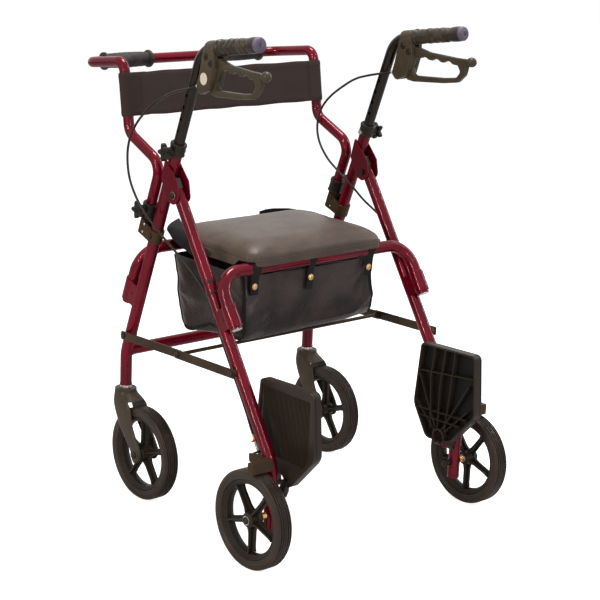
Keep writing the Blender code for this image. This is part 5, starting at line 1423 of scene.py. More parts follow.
def show_bracket(side, s):
    """Sheet clamp round the front leg with the stub tube that takes the backrest."""
    x = s * LEG_X
    up = up_line(FRONT_LEAN)
    out = Vector((0, cos(FRONT_LEAN), -sin(FRONT_LEAN)))
    leg = at(x, front_leg_point(BRACKET_Z))
    middle = (at(x, BACK_SOCKET) - leg).dot(out)
    far = middle + BRACKET_BEYOND
    bore, skin = SLIDING_TUBE_R + GAP, TUBE_R + GAP
    stub = lathe([(bore, STUB_LOW + 0.002), (0.004, STUB_LOW + 0.002), (0.004, STUB_LOW),
                  (TUBE_R, STUB_LOW), (TUBE_R, STUB_HIGH), (bore, STUB_HIGH)],
                 at(x, BACK_SOCKET), up, 40)
    clamp = sleeve(skin, skin + SHEET_T, BRACKET_LOW, BRACKET_HIGH, leg, up, 40, 0.0007)
    corners = [(BRACKET_LOW + 0.0005, 0.004), (BRACKET_LOW + 0.0005, far), (BRACKET_WING_HIGH, far),
               (BRACKET_HIGH - 0.0005, 0.004)]
    wing = outline(*[(*corner, 0.003) for corner in corners])
    rivet_spots = [(t, middle - 0.011) for t in (BRACKET_LOW + 0.0085, BRACKET_HIGH - 0.001)]
    sheets = [clamp, stub]
    for k in (-1, 1):
        low, high = sided(k, TUBE_R - 0.001, skin + SHEET_T - 0.0004)
        sheets.append(plate([wing, *[circle(spot, 0.0027) for spot in rivet_spots]], low, high,
                            0.0006, up, out, X_AXIS, leg))
    bolt = domed(slanted((leg.y, leg.z), FRONT_LEAN, -0.007), x + s * (skin + SHEET_T), s, 0.0058, 0.0034)
    rivets = [domed(slanted((leg.y, leg.z), FRONT_LEAN, *spot), x + s * (skin + 0.0010), s,
                    0.0030, 0.0022) for spot in rivet_spots]
    dress("backrest_bracket_" + side, "black_steel",
          {LINK_BLACK: sheets, DARK_STEEL: [bolt], STEEL: rivets})


def show_back_collar(side, s):
    lip = 0.0055
    top = slanted(BACK_SOCKET, FRONT_LEAN, STUB_HIGH + lip + GAP)
    dress("backrest_collar_" + side, "black_plastic", {
        KNOB: collar_look(s * LEG_X, s, top, lip, BACK_COLLAR_LENGTH, back_knob_point())})


def show_backrest_tube():
    """One bent tube: up from each stub, back, up behind the strap and over as push bar."""
    points = [(slanted(BACK_SOCKET, FRONT_LEAN, BACK_INSERT), 0),
              (slanted(BACK_SOCKET, FRONT_LEAN, BACK_LOW_CORNER_T), 0.035),
              (BACK_MID, 0.030), (BACK_TOP, 0.022), (PUSH_BAR, 0.038)]
    corners = [(at(-LEG_X, p), r) for p, r in points]
    corners += [(at(LEG_X, p), r) for p, r in reversed(points)]
    tube = sweep(fillet(corners, step=radians(6)), SLIDING_TUBE_R, 32)
    dress("backrest_tube", "burgundy_paint", {PAINT: [tube]})


def show_push_grip(side, s):
    """Foam grip on the push bar, with a rubber ring at each end."""
    length = PUSH_GRIP_OUT - PUSH_GRIP_IN
    bore = SLIDING_TUBE_R + GAP
    base, out = at(s * PUSH_GRIP_IN, PUSH_BAR), X_AXIS * s
    foam = [(bore, 0.004)]
    for k in range(25):
        swell = 0.0016 * sin(pi * k / 24) + 0.0002 * sin(k * 2.1) - 0.0010
        foam.append((PUSH_GRIP_R + swell, 0.007 + (length - 0.014) * k / 24))
    foam.append((bore, length - 0.004))
    ring = [(bore, 0.0), (PUSH_FLANGE_R - 0.0012, 0.0), (PUSH_FLANGE_R, 0.0012),
            (PUSH_FLANGE_R, 0.0052), (PUSH_FLANGE_R - 0.0022, 0.0080), (bore, 0.0080)]
    rings = [lathe([(r, t + way * h) for r, h in ring], base, out, 44, 0.0008)
             for t, way in ((0.0, 1), (length, -1))]
    dress("push_grip_" + side, "foam", {FOAM: [lathe(foam, base, out, 44, 0.0)], GRIP: rings})


def strap_sag(x):
    """How far the belt hangs back between the uprights."""
    return STRAP_SAG * (1 - (x / LEG_X) ** 2)


def strap_line(inner):
    """Way of the belt from above: round one upright, across and round the other. Each
    place is x, how far out it lies, and the direction (x, out) of its outer side."""
    line = [(-LEG_X + a * inner, b * inner, a, b) for a, b in arc((0, 0), 1, 90, 360, 16)]
    for k in range(1, 64):
        x = LEG_X * (k / 32 - 1)
        line.append((x, inner - strap_sag(x) * 0.98, 0.0, 1.0))
    return line + [(LEG_X + a * inner, b * inner, a, b) for a, b in arc((0, 0), 1, 90, -360, 16)]


def show_strap():
    """Webbing belt sewn round both uprights, with a soft ripple and two rows of stitches."""
    up = Vector((0, BACK_TOP[0] - BACK_MID[0], BACK_TOP[1] - BACK_MID[1])).normalized()
    front = Vector((0, -up.z, up.y))
    base = at(0, BACK_MID) + up * STRAP_LOW
    inner = SLIDING_TUBE_R + GAP
    line = strap_line(inner)
    rows = 19
    verts = []
    for depth in (0.0, STRAP_T):
        for x, out, side_x, side_f in line:
            for j in range(rows):
                share = j / (rows - 1)
                rim = min(share, 1 - share) * (rows - 1)
                thick = depth - (0.0007 if depth else -0.0002) * (1.0 if rim < 0.5 else 0.0)
                thick += 0.0004 * (1 if 1.0 <= rim < 2.5 and depth else 0)
                height = STRAP_WIDTH * share
                ripple = 0.0
                if abs(x) < 0.22:
                    ripple = 0.0010 * noise.noise(Vector((x * 26, share * 2.2, 3.0)))
                if abs(x) < 0.215:
                    height += 0.0032 * (share - 0.5) * noise.noise(Vector((x * 18, 0.5, 9.0)))
                verts.append(base + X_AXIS * (x + side_x * thick) + up * height
                             + front * (out + side_f * thick + ripple))
    count = len(line)
    outer = count * rows
    faces = []
    for a, b, c, d in quads(count, rows, around=False):
        faces += [(a, b, c, d), (a + outer, d + outer, c + outer, b + outer)]
    edges = [(i * rows + j, (i + 1) * rows + j) for i in range(count - 1) for j in (0, rows - 1)]
    edges += [(i * rows + j, i * rows + j + 1) for j in range(rows - 1) for i in (0, count - 1)]
    faces += [(a, b, b + outer, a + outer) for a, b in edges]
    seams = []
    for x in (-0.226, -0.231, 0.226, 0.231):
        out = inner + STRAP_T + 0.0003 - strap_sag(x)
        seams.append(stitched([base + X_AXIS * x + up * (0.004 + 0.081 * k / 20) + front * out
                               for k in range(21)], 0.0036, 0.0024, 0.0003))
    obj = dress("back_strap", "webbing", {WEBBING: [shell(verts, faces)], BINDING: seams}, crease=60)
    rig.sheet(obj, flat=(2 * LEG_X + 4 * pi * inner, STRAP_WIDTH), held="stretched",
             rests_on=["backrest_tube_look"])


# Casters and wheels

FORK_SECTIONS = [
    (0.2285, 0.1890, 0.2290, 0.0200, 2.0), (0.2282, 0.1872, 0.2308, 0.0218, 2.0),
    (0.2274, 0.1858, 0.2322, 0.0232, 2.0), (0.2246, 0.1856, 0.2324, 0.0234, 2.0),
    (0.2243, 0.1864, 0.2316, 0.0226, 2.0), (0.2233, 0.1864, 0.2316, 0.0226, 2.0),
    (0.2230, 0.1856, 0.2324, 0.0234, 2.0), (0.2195, 0.1850, 0.2325, 0.0235, 2.1),
    (0.2150, 0.1800, 0.2318, 0.0242, 2.4), (0.2100, 0.1720, 0.2300, 0.0254, 2.9),
    (0.2050, 0.1655, 0.2280, 0.0266, 3.5), (0.1990, 0.1610, 0.2250, 0.0277, 4.2),
    (0.1920, 0.1588, 0.2212, 0.0284, 4.8), (0.1850, 0.1578, 0.2180, 0.0285, 5.0),
    (0.1760, 0.1562, 0.2136, 0.0285, 5.0), (0.1640, 0.1528, 0.2065, 0.0285, 5.0),
    (0.1520, 0.1478, 0.1985, 0.0285, 5.0), (0.1400, 0.1410, 0.1885, 0.0285, 5.0),
    (0.1280, 0.1328, 0.1775, 0.0285, 5.0), (0.1180, 0.1260, 0.1680, 0.0285, 5.0),
    (0.1100, 0.1222, 0.1600, 0.0285, 5.0), (0.1020, 0.1206, 0.1545, 0.0285, 5.0),
    (0.0950, 0.1212, 0.1520, 0.0285, 5.0), (0.0890, 0.1238, 0.1500, 0.0285, 5.0),
    (0.0845, 0.1275, 0.1465, 0.0284, 4.0), (0.0820, 0.1320, 0.1420, 0.0282, 3.0)]
FORK_GAP = [(0.080, 0.040), (0.080, 0.2068), (0.150, 0.2066), (0.187, 0.2055), (0.200, 0.2018),
            (0.210, 0.1960), (0.222, 0.1905), (0.250, 0.1860), (0.250, 0.040)]


def show_fork(side, s):
    """Moulded fork: a round crown that spreads into two arms with an open arch."""
    x = s * LEG_X
    inner = FORK_HALF_WIDTH - ARM_T - 0.0007
    top = FORK_SECTIONS[0][0]
    body = carve(lofted(FORK_SECTIONS, x), plate([FORK_GAP], x - inner, x + inner, 0.0016),
                 cross_rod(x - 0.04, x + 0.04, CASTER_AXLE, 0.0044, 20))
    face = FORK_HALF_WIDTH
    ring = [(0.0044, face - 0.003), (0.0128, face - 0.003), (0.0120, face + 0.0002),
            (0.0092, face + 0.0002), (0.0088, face - 0.0006), (0.0044, face - 0.0006)]
    bosses = [lathe(ring, at(x, CASTER_AXLE), X_AXIS * k, 36, 0.0003) for k in (-1, 1)]
    washer = lathe([(0, top - 0.002), (0.0126, top - 0.002), (0.0126, top + 0.0010),
                    (0.0098, top + 0.0014), (0.0092, FRONT_LEG_BOTTOM - GAP),
                    (0, FRONT_LEG_BOTTOM - GAP)], (x, CASTER_Y, 0), Z_AXIS, 40, 0.0003)
    stem = disc(0.0055, -0.001, 0.028, (x, CASTER_Y, FRONT_LEG_BOTTOM), Z_AXIS, 20)
    dress("caster_fork_" + side, "black_plastic", {FORK: [body] + bosses, STEEL: [washer, stem]},
          crease=32)


def spoke_look():
    """A spoke about the z axis: a wide web at the middle plane and a rib across it."""
    low, high = HUB_R - 0.002, RIM_INNER_R + 0.002
    web = [(0.0098, low, 0.0), (0.0072, low + 0.012, 0.02), (0.0066, high - 0.012, 0.02),
           (0.0098, high, 0.0)]
    rib = [(0.0130, low, 0.0), (0.0096, low + 0.012, 0.02), (0.0090, high - 0.010, 0.02),
           (0.0112, high, 0.0)]
    web, rib = [outline(*[(-a, b, r) for a, b, r in half], *reversed(half)) for half in (web, rib)]
    return [plate([web], -0.0017, 0.0017, 0.0006),
            plate([rib], -0.0021, 0.0021, 0.0007, u=X_AXIS, v=Z_AXIS, w=-Y_AXIS)]


def mirrored(half):
    """Profile of (radius, x) from its half at x > 0."""
    return half + [(r, -x) for r, x in reversed(half)]


def wheel_look():
    w = RIM_HALF_WIDTH
    rim = [(TYRE_BORE_R - GAP, w), (0.0772, w), (0.0764, w - 0.0018), (0.0742, w - 0.0022),
           (0.0734, w - 0.0042), (0.0712, w - 0.0050), (RIM_INNER_R + 0.0008, w - 0.0090),
           (RIM_INNER_R, 0.0025)]
    h = HUB_HALF_WIDTH
    hub = [(BOLT_R + GAP, h), (0.0100, h), (0.0105, h - 0.0012), (0.0135, h - 0.0012),
           (0.0150, h - 0.0030), (0.0156, 0.0060), (0.0168, 0.0030)]
    spokes = [grown(RING, part, PLASTIC, Count=SPOKES, Step=2 * pi / SPOKES) for part in spoke_look()]
    return [lathe(mirrored(rim), NOWHERE, X_AXIS, 72), lathe(mirrored(hub), NOWHERE, X_AXIS, 40), *spokes]


def tyre_look():
    """Tyre with five grooves round its tread."""
    w, r, bead = TYRE_HALF_WIDTH, WHEEL_R, TYRE_BORE_R
    half = [(bead, w - 0.0045), (bead + 0.0012, w - 0.0020), (bead + 0.0030, w - 0.0008),
            (bead + 0.0062, w - 0.0010), (bead + 0.0074, w), (r - 0.0060, w),
            (r - 0.0026, w - 0.0013), (r - 0.0006, w - 0.0040)]
    for x in (0.0118, 0.0102, 0.0064, 0.0048, 0.0014):
        half += [(r, x + 0.0007), (r - 0.0013, x + 0.0004), (r - 0.0013, x - 0.0004), (r, x - 0.0007)]
    return lathe(mirrored(half), NOWHERE, X_AXIS, 96, 0.0002)


WHEEL_PARTS = wheel_look()
TYRE_PART = tyre_look()


def show_wheel(kind, side, centre):
    place = Matrix.Translation(centre)
    if kind == "rear":
        place = place @ Matrix.Rotation(pi, 4, "X")
    wheel = [moved(part, place) for part in WHEEL_PARTS]
    dress("%s_wheel_%s" % (kind, side), "black_plastic", {PLASTIC: wheel})
    dress("%s_tyre_%s" % (kind, side), "tyre_rubber", {TYRE: [moved(TYRE_PART, place)]}, crease=30)


def show_caster_axle(side, s):
    x = s * LEG_X
    face = FORK_HALF_WIDTH + GAP
    head = domed(CASTER_AXLE, x + s * face, s, 0.0072, 0.0046)
    nut = lathe([(0, face), (0.0072, face), (0.0072, face + 0.0044), (0.0060, face + 0.0048),
                 (0, face + 0.0048)], at(x, CASTER_AXLE), -X_AXIS * s, 6, 0.0004)
    bolt = cross_rod(x - face, x + face, CASTER_AXLE, BOLT_R, 20)
    dress("caster_axle_" + side, "steel", {DARK_STEEL: [head, nut], STEEL: [bolt]})


def show_rear_axle(side, s):
    """Axle bolt of a braked wheel with its spacer, washers, nut and the cap on its thread."""
    leg_in, leg_out = LEG_X - TUBE_R - GAP, LEG_X + TUBE_R + GAP
    hub_in = REAR_WHEEL_X - HUB_HALF_WIDTH - GAP
    hub_out = REAR_WHEEL_X + HUB_HALF_WIDTH + GAP
    base, out = at(0, REAR_AXLE), X_AXIS * s
    turns = [(0.0046 + 0.0004 * (k % 2), 0.2290 + 0.0009 * k) for k in range(14)]
    thread = lathe([(0, 0.2285), (0.0046, 0.2285), *turns, (0.0044, leg_in - 0.0018),
                    (0, leg_in - 0.0018)], base, out, 24, 0.0001)
    nut = hex_nut(0.0078, leg_in - 0.0055, leg_in - 0.0006, base, out)
    cap = lathe([(0, 0.2265), (0.0045, 0.2265), (0.0066, 0.2280), (0.0070, 0.2325), (0, 0.2325)],
                base, out, 28, 0.0006)
    bolt = disc(BOLT_R, leg_in, hub_out, base, out, 20)
    spacer = disc(0.0070, leg_out, hub_in - 0.0012, base, out)
    washers = [disc(0.0085, hub_in - 0.0014, hub_in, base, out, 28, 0.0003),
               disc(0.0095, hub_out, hub_out + 0.0012, base, out, 28, 0.0003)]
    head = domed(REAR_AXLE, s * (hub_out + 0.0012), s, 0.0072, 0.0050)
    dress("rear_axle_" + side, "steel", {STEEL: [bolt] + washers, BRASS: [spacer],
                                         KNOB: [cap], DARK_STEEL: [head, thread, nut]})


# Brake shoes and springs

SHOE_SHEET = [(0.036, 0.005, 0.004), (0.034, -0.012, 0.004), (0.016, -0.014, 0.006),
              (-0.010, -0.009, 0.006), (-0.037, -0.004, 0.003), (-0.036, 0.013, 0.005),
              (-0.018, 0.0125, 0.006), (-0.010, 0.0085, 0.008), (0.006, 0.011, 0.008)]


def show_shoe(side, s):
    """Brake shoe: a sheet on its pivot bolt, the pad's bar and the lug for the cable."""
    y, z = SHOE_PIVOT
    outer = s * (SHOE_X + LINK_T)
    sheet = plate([outline_from(SHOE_PIVOT, SHOE_SHEET)], *sided(s, SHOE_X, SHOE_X + LINK_T), 0.0006)
    bolt = [domed(SHOE_PIVOT, outer, s, 0.0060, 0.0034),
            cross_rod(s * (LEG_X + 0.0045), outer, SHOE_PIVOT, PIN_R, 20),
            cross_rod(s * (LEG_X + TUBE_R + GAP), s * (SHOE_X + 0.0005), SHOE_PIVOT, 0.006)]
    low, high = sided(s, SHOE_X + 0.001, 0.3250)
    bar = box_between((low, y - 0.036, z - 0.020), (high, y - 0.036 + PAD_T, z + 0.012), 0.0012)
    bar = carve(bar, cross_rod(s * 0.25, s * 0.34, REAR_AXLE, WHEEL_R + 0.0022, 96))
    top = SPRING_TOP_T - SPRING_LENGTH - 0.0024
    corners = [(0, -0.005), (0, 0.007), (SHEET_T, 0.007), (SHEET_T, -0.005)]
    lug = plate([[stop_point(top - t, STOP_OFFSET + off) for t, off in corners]],
                *sided(s, CABLE_X - 0.007, SHOE_X + 0.0015), 0.0005)
    dress("brake_shoe_" + side, "black_steel", {LINK_BLACK: [sheet, lug, bar], DARK_STEEL: bolt})


def show_spring(side, s):
    """Return spring under the cable's stop, round the cable's wire."""
    start = at(s * CABLE_X, stop_point(SPRING_TOP_T - 0.0007))
    place = Matrix.Translation(start) @ (-up_line(REAR_LEAN)).to_track_quat("Z", "Y").to_matrix().to_4x4()
    coil = grown(COIL, bpy.data.meshes.new("start"), STEEL, Turns=8.0, Radius=0.0042,
                 Height=SPRING_LENGTH, Wire=0.0006)
    wire = disc(0.0008, -0.001, SPRING_LENGTH + 0.001, NOWHERE, Z_AXIS, 12, 0.0002)
    obj = gathered("brake_spring_%s_look" % side, {STEEL: [coil, wire]}, place)
    top = start - Y_AXIS * ORIGIN_Y
    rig.blend(obj, "rear_frame", "shoe_" + side, top, top - up_line(REAR_LEAN) * SPRING_LENGTH)
    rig.replaces(obj, "brake_spring_" + side)
    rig.slot(obj, "steel")


# Footplates

FOOT_RIBS = [
    [(-0.1975, 0.2926), (-0.3580, 0.3106)], [(-0.1945, 0.2102), (-0.3440, 0.2170)],
    [(-0.2040, 0.1946), (-0.3280, 0.1979)], [(-0.2452, 0.3540), (-0.2365, 0.2837), (-0.2440, 0.1720)],
    [(-0.2762, 0.3560), (-0.2653, 0.2748), (-0.2642, 0.1780)],
    [(-0.3035, 0.3560), (-0.2968, 0.2833), (-0.2850, 0.1730)],
    [(-0.2590, 0.1770), (-0.1993, 0.2934)], [(-0.2560, 0.1720), (-0.1950, 0.2278)],
    [(-0.2770, 0.1770), (-0.3478, 0.2930)], [(-0.2820, 0.1720), (-0.3470, 0.2360)]]

FOOT_RIM = [(0.065, 0.100, 0.010), (-0.092, 0.107, 0.012), (-0.103, -0.025, 0.03),
            (-0.034, -0.100, 0.02), (0.036, -0.106, 0.02), (0.078, -0.037, 0.03)]

FOOT_MIDDLE_Z = 0.255


def foot_outline(wide=1.0, high=1.0, round_share=1.0, lift=0.0):
    """Outline of a footplate, or a smaller one inside it."""
    return outline_from((HANGER_Y, FOOT_MIDDLE_Z + lift),
                        [(y * wide, z * high, r * round_share) for y, z, r in FOOT_RIM])


def show_footplate(side, s):
    """Footplate turned up: framed tread outside, walls and ribs inside, hinge knuckles."""
    hinge_x, hinge_z = PLATE_HINGE
    boss, hole = (HANGER_Y, 0.161), (HANGER_Y - 0.066, 0.206)
    rim = foot_outline()
    low, high = sided(s, 0.20, 0.25)
    slot = box_between((low, HANGER_Y - 0.009, 0.12), (high, HANGER_Y + 0.009, boss[1]), 0.0002, 1)
    cutters = [cross_rod(s * 0.20, s * 0.25, boss, 0.0140, 36), slot,
               cross_rod(s * 0.20, s * 0.25, hole, 0.0032, 20)]
    border = [rim, foot_outline(0.90, 0.90, 0.6, 0.001)]
    wall = [rim, foot_outline(0.95, 0.96, 0.8)]
    layers = [(border, 0.0034, 0.0, 0.0009), (wall, PLATE_OUT_X - PLATE_IN_X, 0.0045, 0.0010),
              ([rim], 0.0045, 0.0024, 0.0006), ([rim], 0.0046, 0.0065, 0.0006)]
    made = [carve(plate(shapes, *sided(s, PLATE_OUT_X - a, PLATE_OUT_X - b), edge), *cutters)
            for shapes, a, b, edge in layers]
    # The innermost layer, which faces the recess under the plate, takes the near-black copy of the plastic: painted
    # shade.
    painted_shade_layer = made.pop()
    ring = sleeve(0.0140, 0.0175, PLATE_IN_X, PLATE_OUT_X - 0.004, at(0, boss), X_AXIS * s, 36)
    made.append(carve(ring, slot))
    low, high = sided(s, PLATE_IN_X + 0.0020, PLATE_OUT_X - 0.005)
    for line in FOOT_RIBS:
        for start, end in zip(line, line[1:]):
            a, b = Vector(start), Vector(end)
            out = (b - a).normalized().yx * Vector((-0.0010, 0.0010))
            made.append(plate([[a - out, a + out, b + out, b - out]], low, high, 0.0003))
    y, width = HANGER_Y - 0.080, 0.0012
    ridge = plate([[(y, 0.206), (y, 0.3420), (y + width, 0.3420), (y + width, 0.206)]],
                  *sided(s, PLATE_OUT_X - 0.0026, PLATE_OUT_X - 0.0012), 0.00015)
    made.append(grown(ROW, ridge, PLATE, Count=37, Step=(0.0, 0.0037, 0.0)))
    arm = [(hinge_x - 0.004, hinge_z - 0.005), (PLATE_OUT_X - 0.006, hinge_z + 0.004),
           (PLATE_OUT_X - 0.008, hinge_z + 0.026), (PLATE_OUT_X - 0.0005, hinge_z + 0.026),
           (hinge_x + 0.004, hinge_z + 0.005)]
    for low, high in ((-0.0270, -0.0095), (0.0095, 0.0270)):
        made.append(disc(0.0065, low, high, (s * hinge_x, HANGER_Y, hinge_z), Y_AXIS, 28, 0.0008))
        made.append(plate([[(s * x, z) for x, z in arm]], HANGER_Y + low + 0.0005,
                          HANGER_Y + high - 0.0005, 0.0008, u=X_AXIS, v=Z_AXIS, w=Y_AXIS))
    dress("footplate_" + side, "black_plastic", {PLATE: made, PLATE_PAINTED_SHADE: [painted_shade_layer]})


# Seat

def seat_bottom():
    inner = TUBE_R + GAP + 0.0012
    return seat_run(rear_socket(), REAR_LEAN, REAR_RUN_Z)[1] + inner / cos(pi / 10) + GAP


def seat_ring(inset, z, count=144):
    """Rounded outline of the seat at one height, drawn in along its sides."""
    half_x = SEAT_HALF_WIDTH - inset
    half_y = (SEAT_FRONT_Y - SEAT_REAR_Y) / 2 - inset
    middle = (SEAT_FRONT_Y + SEAT_REAR_Y) / 2
    ring = []
    for k in range(count):
        angle = 2 * pi * (k + 0.5) / count
        u, v = squared(cos(angle), 9.5), squared(sin(angle), 9.5)
        pull = 0.004 * (1 - (u * v) ** 2)
        ring.append(Vector((u * (half_x - pull), middle + v * (half_y - pull), z)))
    return ring


def ring_shell(levels, bottom):
    """Closed skin through rings of the seat's outline, given as (inset, rise)."""
    rings = [seat_ring(inset, bottom + rise) for inset, rise in levels]
    return capped([p for ring in rings for p in ring], len(rings[0]))


def puffed(mesh, cap):
    """Cushion skin after a short cloth simulation with pressure inside, its motion capped."""
    obj = held(changed(mesh, "REMESH", mode="VOXEL", voxel_size=0.0055))
    before = [v.co.copy() for v in obj.data.vertices]
    cloth = obj.modifiers.new("cloth", "CLOTH")
    cloth.settings.use_pressure = True
    cloth.settings.uniform_pressure_force = 4.0
    cloth.settings.effector_weights.gravity = 0.0
    cloth.point_cache.frame_start = 1
    cloth.point_cache.frame_end = 20
    for moment in range(1, 21):
        bpy.context.scene.frame_set(moment)
    after = settled(obj)
    bpy.context.scene.frame_set(1)
    for vert, start in zip(after.vertices, before):
        way = vert.co - start
        if way.length > cap:
            vert.co = start + way * (cap / way.length)
    return after


def seat_skirt(bottom):
    """Hem of the cover that hangs below the board, cut away where the tubes pass."""
    rings = [[], [], [], []]
    for outer, inner in zip(seat_ring(0.0006, bottom, 400), seat_ring(0.0032, bottom, 400)):
        reach = 0.0
        if outer.y < -0.1045:
            reach = 0.010
        elif -0.072 < outer.y < 0.134:
            reach = 0.013 * min(1.0, (outer.y + 0.072) / 0.016, (0.134 - outer.y) / 0.016)
        drop = Z_AXIS * (0.0002 + reach)
        tuck = Z_AXIS * 0.0030
        for ring, point in zip(rings, (inner + tuck, inner - drop, outer - drop, outer + tuck)):
            ring.append(point)
    return shell([p for ring in rings for p in ring], quads(4, 400, ends_meet=True))


LIP_TOPS = [(-0.01, 0.0060), (0.030, 0.0160), (0.0575, 0.0245), (0.0800, 0.0290), (0.1050, 0.0290),
            (0.1500, 0.0245), (0.1800, 0.0190), (0.2300, 0.0200), (0.2800, 0.0192), (0.3100, 0.0060)]


def seat_lip(bottom):
    """Black flap that stands up behind the seat and round its far right corner."""
    walk = [p for p in seat_ring(-0.0004, bottom, 400) if p.x > -0.01 and p.y > 0.07]
    walk.sort(key=lambda p: p.x - p.y)
    verts = []
    for p in walk:
        share = p.x if p.y > 0.168 else p.x + SEAT_FRONT_Y - p.y
        top = max(0.0075, along(LIP_TOPS, share))
        way = Vector((p.x, p.y - 0.03, 0)).normalized()
        section = [(0.0, 0.0045), (0.0022, 0.0045), (0.0022, top - 0.0006), (0.0011, top),
                   (0.0, top - 0.0006)]
        verts += [p + way * out + Z_AXIS * rise for out, rise in section]
    return capped(verts, 5)


def cut_flat(mesh, level):
    """The part of a closed skin above a level, with a flat underside."""
    bm = bmesh.new()
    bm.from_mesh(mesh)
    bmesh.ops.bisect_plane(bm, geom=bm.verts[:] + bm.edges[:] + bm.faces[:],
                           plane_co=(0, 0, level), plane_no=(0, 0, 1), clear_inner=True)
    bmesh.ops.holes_fill(bm, edges=[edge for edge in bm.edges if edge.is_boundary])
    bmesh.ops.recalc_face_normals(bm, faces=bm.faces)
    bm.to_mesh(mesh)
    bm.free()
    return mesh


SEAT_LEVELS = [(0.0200, -0.0140), (0.0060, -0.0140), (0.0008, -0.0110), (0.0008, 0.0030),
               (0.0014, 0.0066), (0.0032, 0.0104), (0.0064, 0.0142), (0.0115, 0.0180),
               (0.0185, 0.0216), (0.0270, 0.0250), (0.0370, 0.0282), (0.0470, 0.0303),
               (0.0600, 0.0317), (0.0780, 0.0328), (0.1000, 0.0335)]


def show_seat():
    """Crowned vinyl cushion on its board, with a stitched hem, gathers and clips."""
    bottom = seat_bottom()
    skin = ring_shell(SEAT_LEVELS, bottom)
    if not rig.quick():
        skin = puffed(skin, 0.0030)
    skin = changed(cut_flat(skin, bottom + 0.0010), "SUBSURF", levels=1, render_levels=1)
    for vert in skin.vertices:
        vert.co += gathers(vert.co, bottom)
    board = ring_shell([(0.0120, 0.0), (0.0036, 0.0), (0.0036, 0.0030), (0.012, 0.0032)], bottom)
    seam = [p for p in seat_ring(0.0003, bottom - 0.0062, 400)
            if p.y < SEAT_REAR_Y + 0.006 and p.x > -0.06]
    seam.sort(key=lambda p: p.x)
    clips = [part for s in SIDES.values() for part in clip_look(s, bottom)]
    obj = dress("seat_cushion", "vinyl", {
        VINYL: [skin, seat_skirt(bottom)], BINDING: [seat_lip(bottom)], KNOB: [board] + clips,
        THREAD: [stitched(seam, 0.0044, 0.0026, 0.00030)]}, crease=55)
    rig.padded(obj, fill=0.9)


def gathers(point, bottom):
    """Small pulls in the skin above the hem, strongest at the corners."""
    rise = point.z - bottom
    if not 0.0 < rise < 0.026:
        return Vector((0, 0, 0))
    corner = exp(-((abs(point.x) - SEAT_HALF_WIDTH) ** 2 + (point.y - SEAT_REAR_Y) ** 2) / 0.0032)
    way = atan2(point.y - 0.03, point.x)
    height = 1 - abs(rise - 0.006) / 0.016
    fold = sin(way * 190) * 0.0012 * corner + 0.0006 * noise.noise(Vector((way * 24, rise * 60, 1.0)))
    return Vector((point.x, point.y - 0.03, 0)).normalized() * (fold * max(0.0, height))


def clip_look(s, bottom):
    """Hook that hangs the seat on the front tube, and its post."""
    y, z = front_run()
    low, high = s * 0.155 - 0.013, s * 0.155 + 0.013
    hook = arc((y, z), TUBE_R + GAP, -20, 220, 18) + arc((y, z), TUBE_R + 0.0033, 200, -220, 18)
    return [plate([hook], low, high, 0.0007),
            box_between((low + 0.001, y - 0.008, z + TUBE_R + 0.001),
                        (high - 0.001, y + 0.008, bottom + 0.003))]


def front_run():
    return seat_run(front_socket(), FRONT_LEAN, FRONT_RUN_Z)


# Bag

BAG_TOP = 0.527
BAG_BOTTOM = 0.3895
BAG_REAR = [(0.0, -0.0890), (0.35, -0.0900), (0.70, -0.0920), (0.90, -0.0900), (1.0, -0.0830)]
BAG_FRONT = [(0.0, 0.1480), (0.30, 0.1360), (0.75, 0.1290), (0.93, 0.1220), (1.0, 0.1100)]


def along(table, t):
    """Value at t on a line through (t, value) pairs."""
    for (t0, a), (t1, b) in zip(table, table[1:]):
        if t <= t1:
            return a + (b - a) * (t - t0) / (t1 - t0)
    return table[-1][1]


def bag_point(u, v):
    """Point of the bag's skin: u once round it, v from its rim down to its middle."""
    wall = min(v / 0.62, 1.0)
    inward = max(0.0, (v - 0.62) / 0.38)
    rear, front = along(BAG_REAR, wall), along(BAG_FRONT, wall)
    squeeze = 0.006 * sin(pi * min(1.0, wall)) + 0.008 * wall ** 6
    half_x = (BAG_RIGHT - BAG_LEFT) / 2 - squeeze * 0.4 - 0.002
    half_y = (front - rear) / 2
    a, b = squared(cos(2 * pi * u), 16.0), squared(sin(2 * pi * u), 16.0)
    shrink = 1 - inward
    x = (BAG_LEFT + BAG_RIGHT) / 2 + a * half_x * shrink
    y = (front + rear) / 2 + b * half_y * shrink
    drop = 0.018 * bump_at(y, 0.088, 0.040) - 0.013 * bump_at(y, 0.0, 0.045)
    drop = drop * a ** 4 - 0.012 * max(0.0, x / BAG_RIGHT) ** 2 * max(0.0, -b) ** 4
    z = BAG_TOP + (BAG_BOTTOM - drop * shrink - BAG_TOP) * wall ** 1.05 - 0.004 * (1 - shrink ** 2)
    return sag(Vector((x, y, z)), a, b, wall, inward)


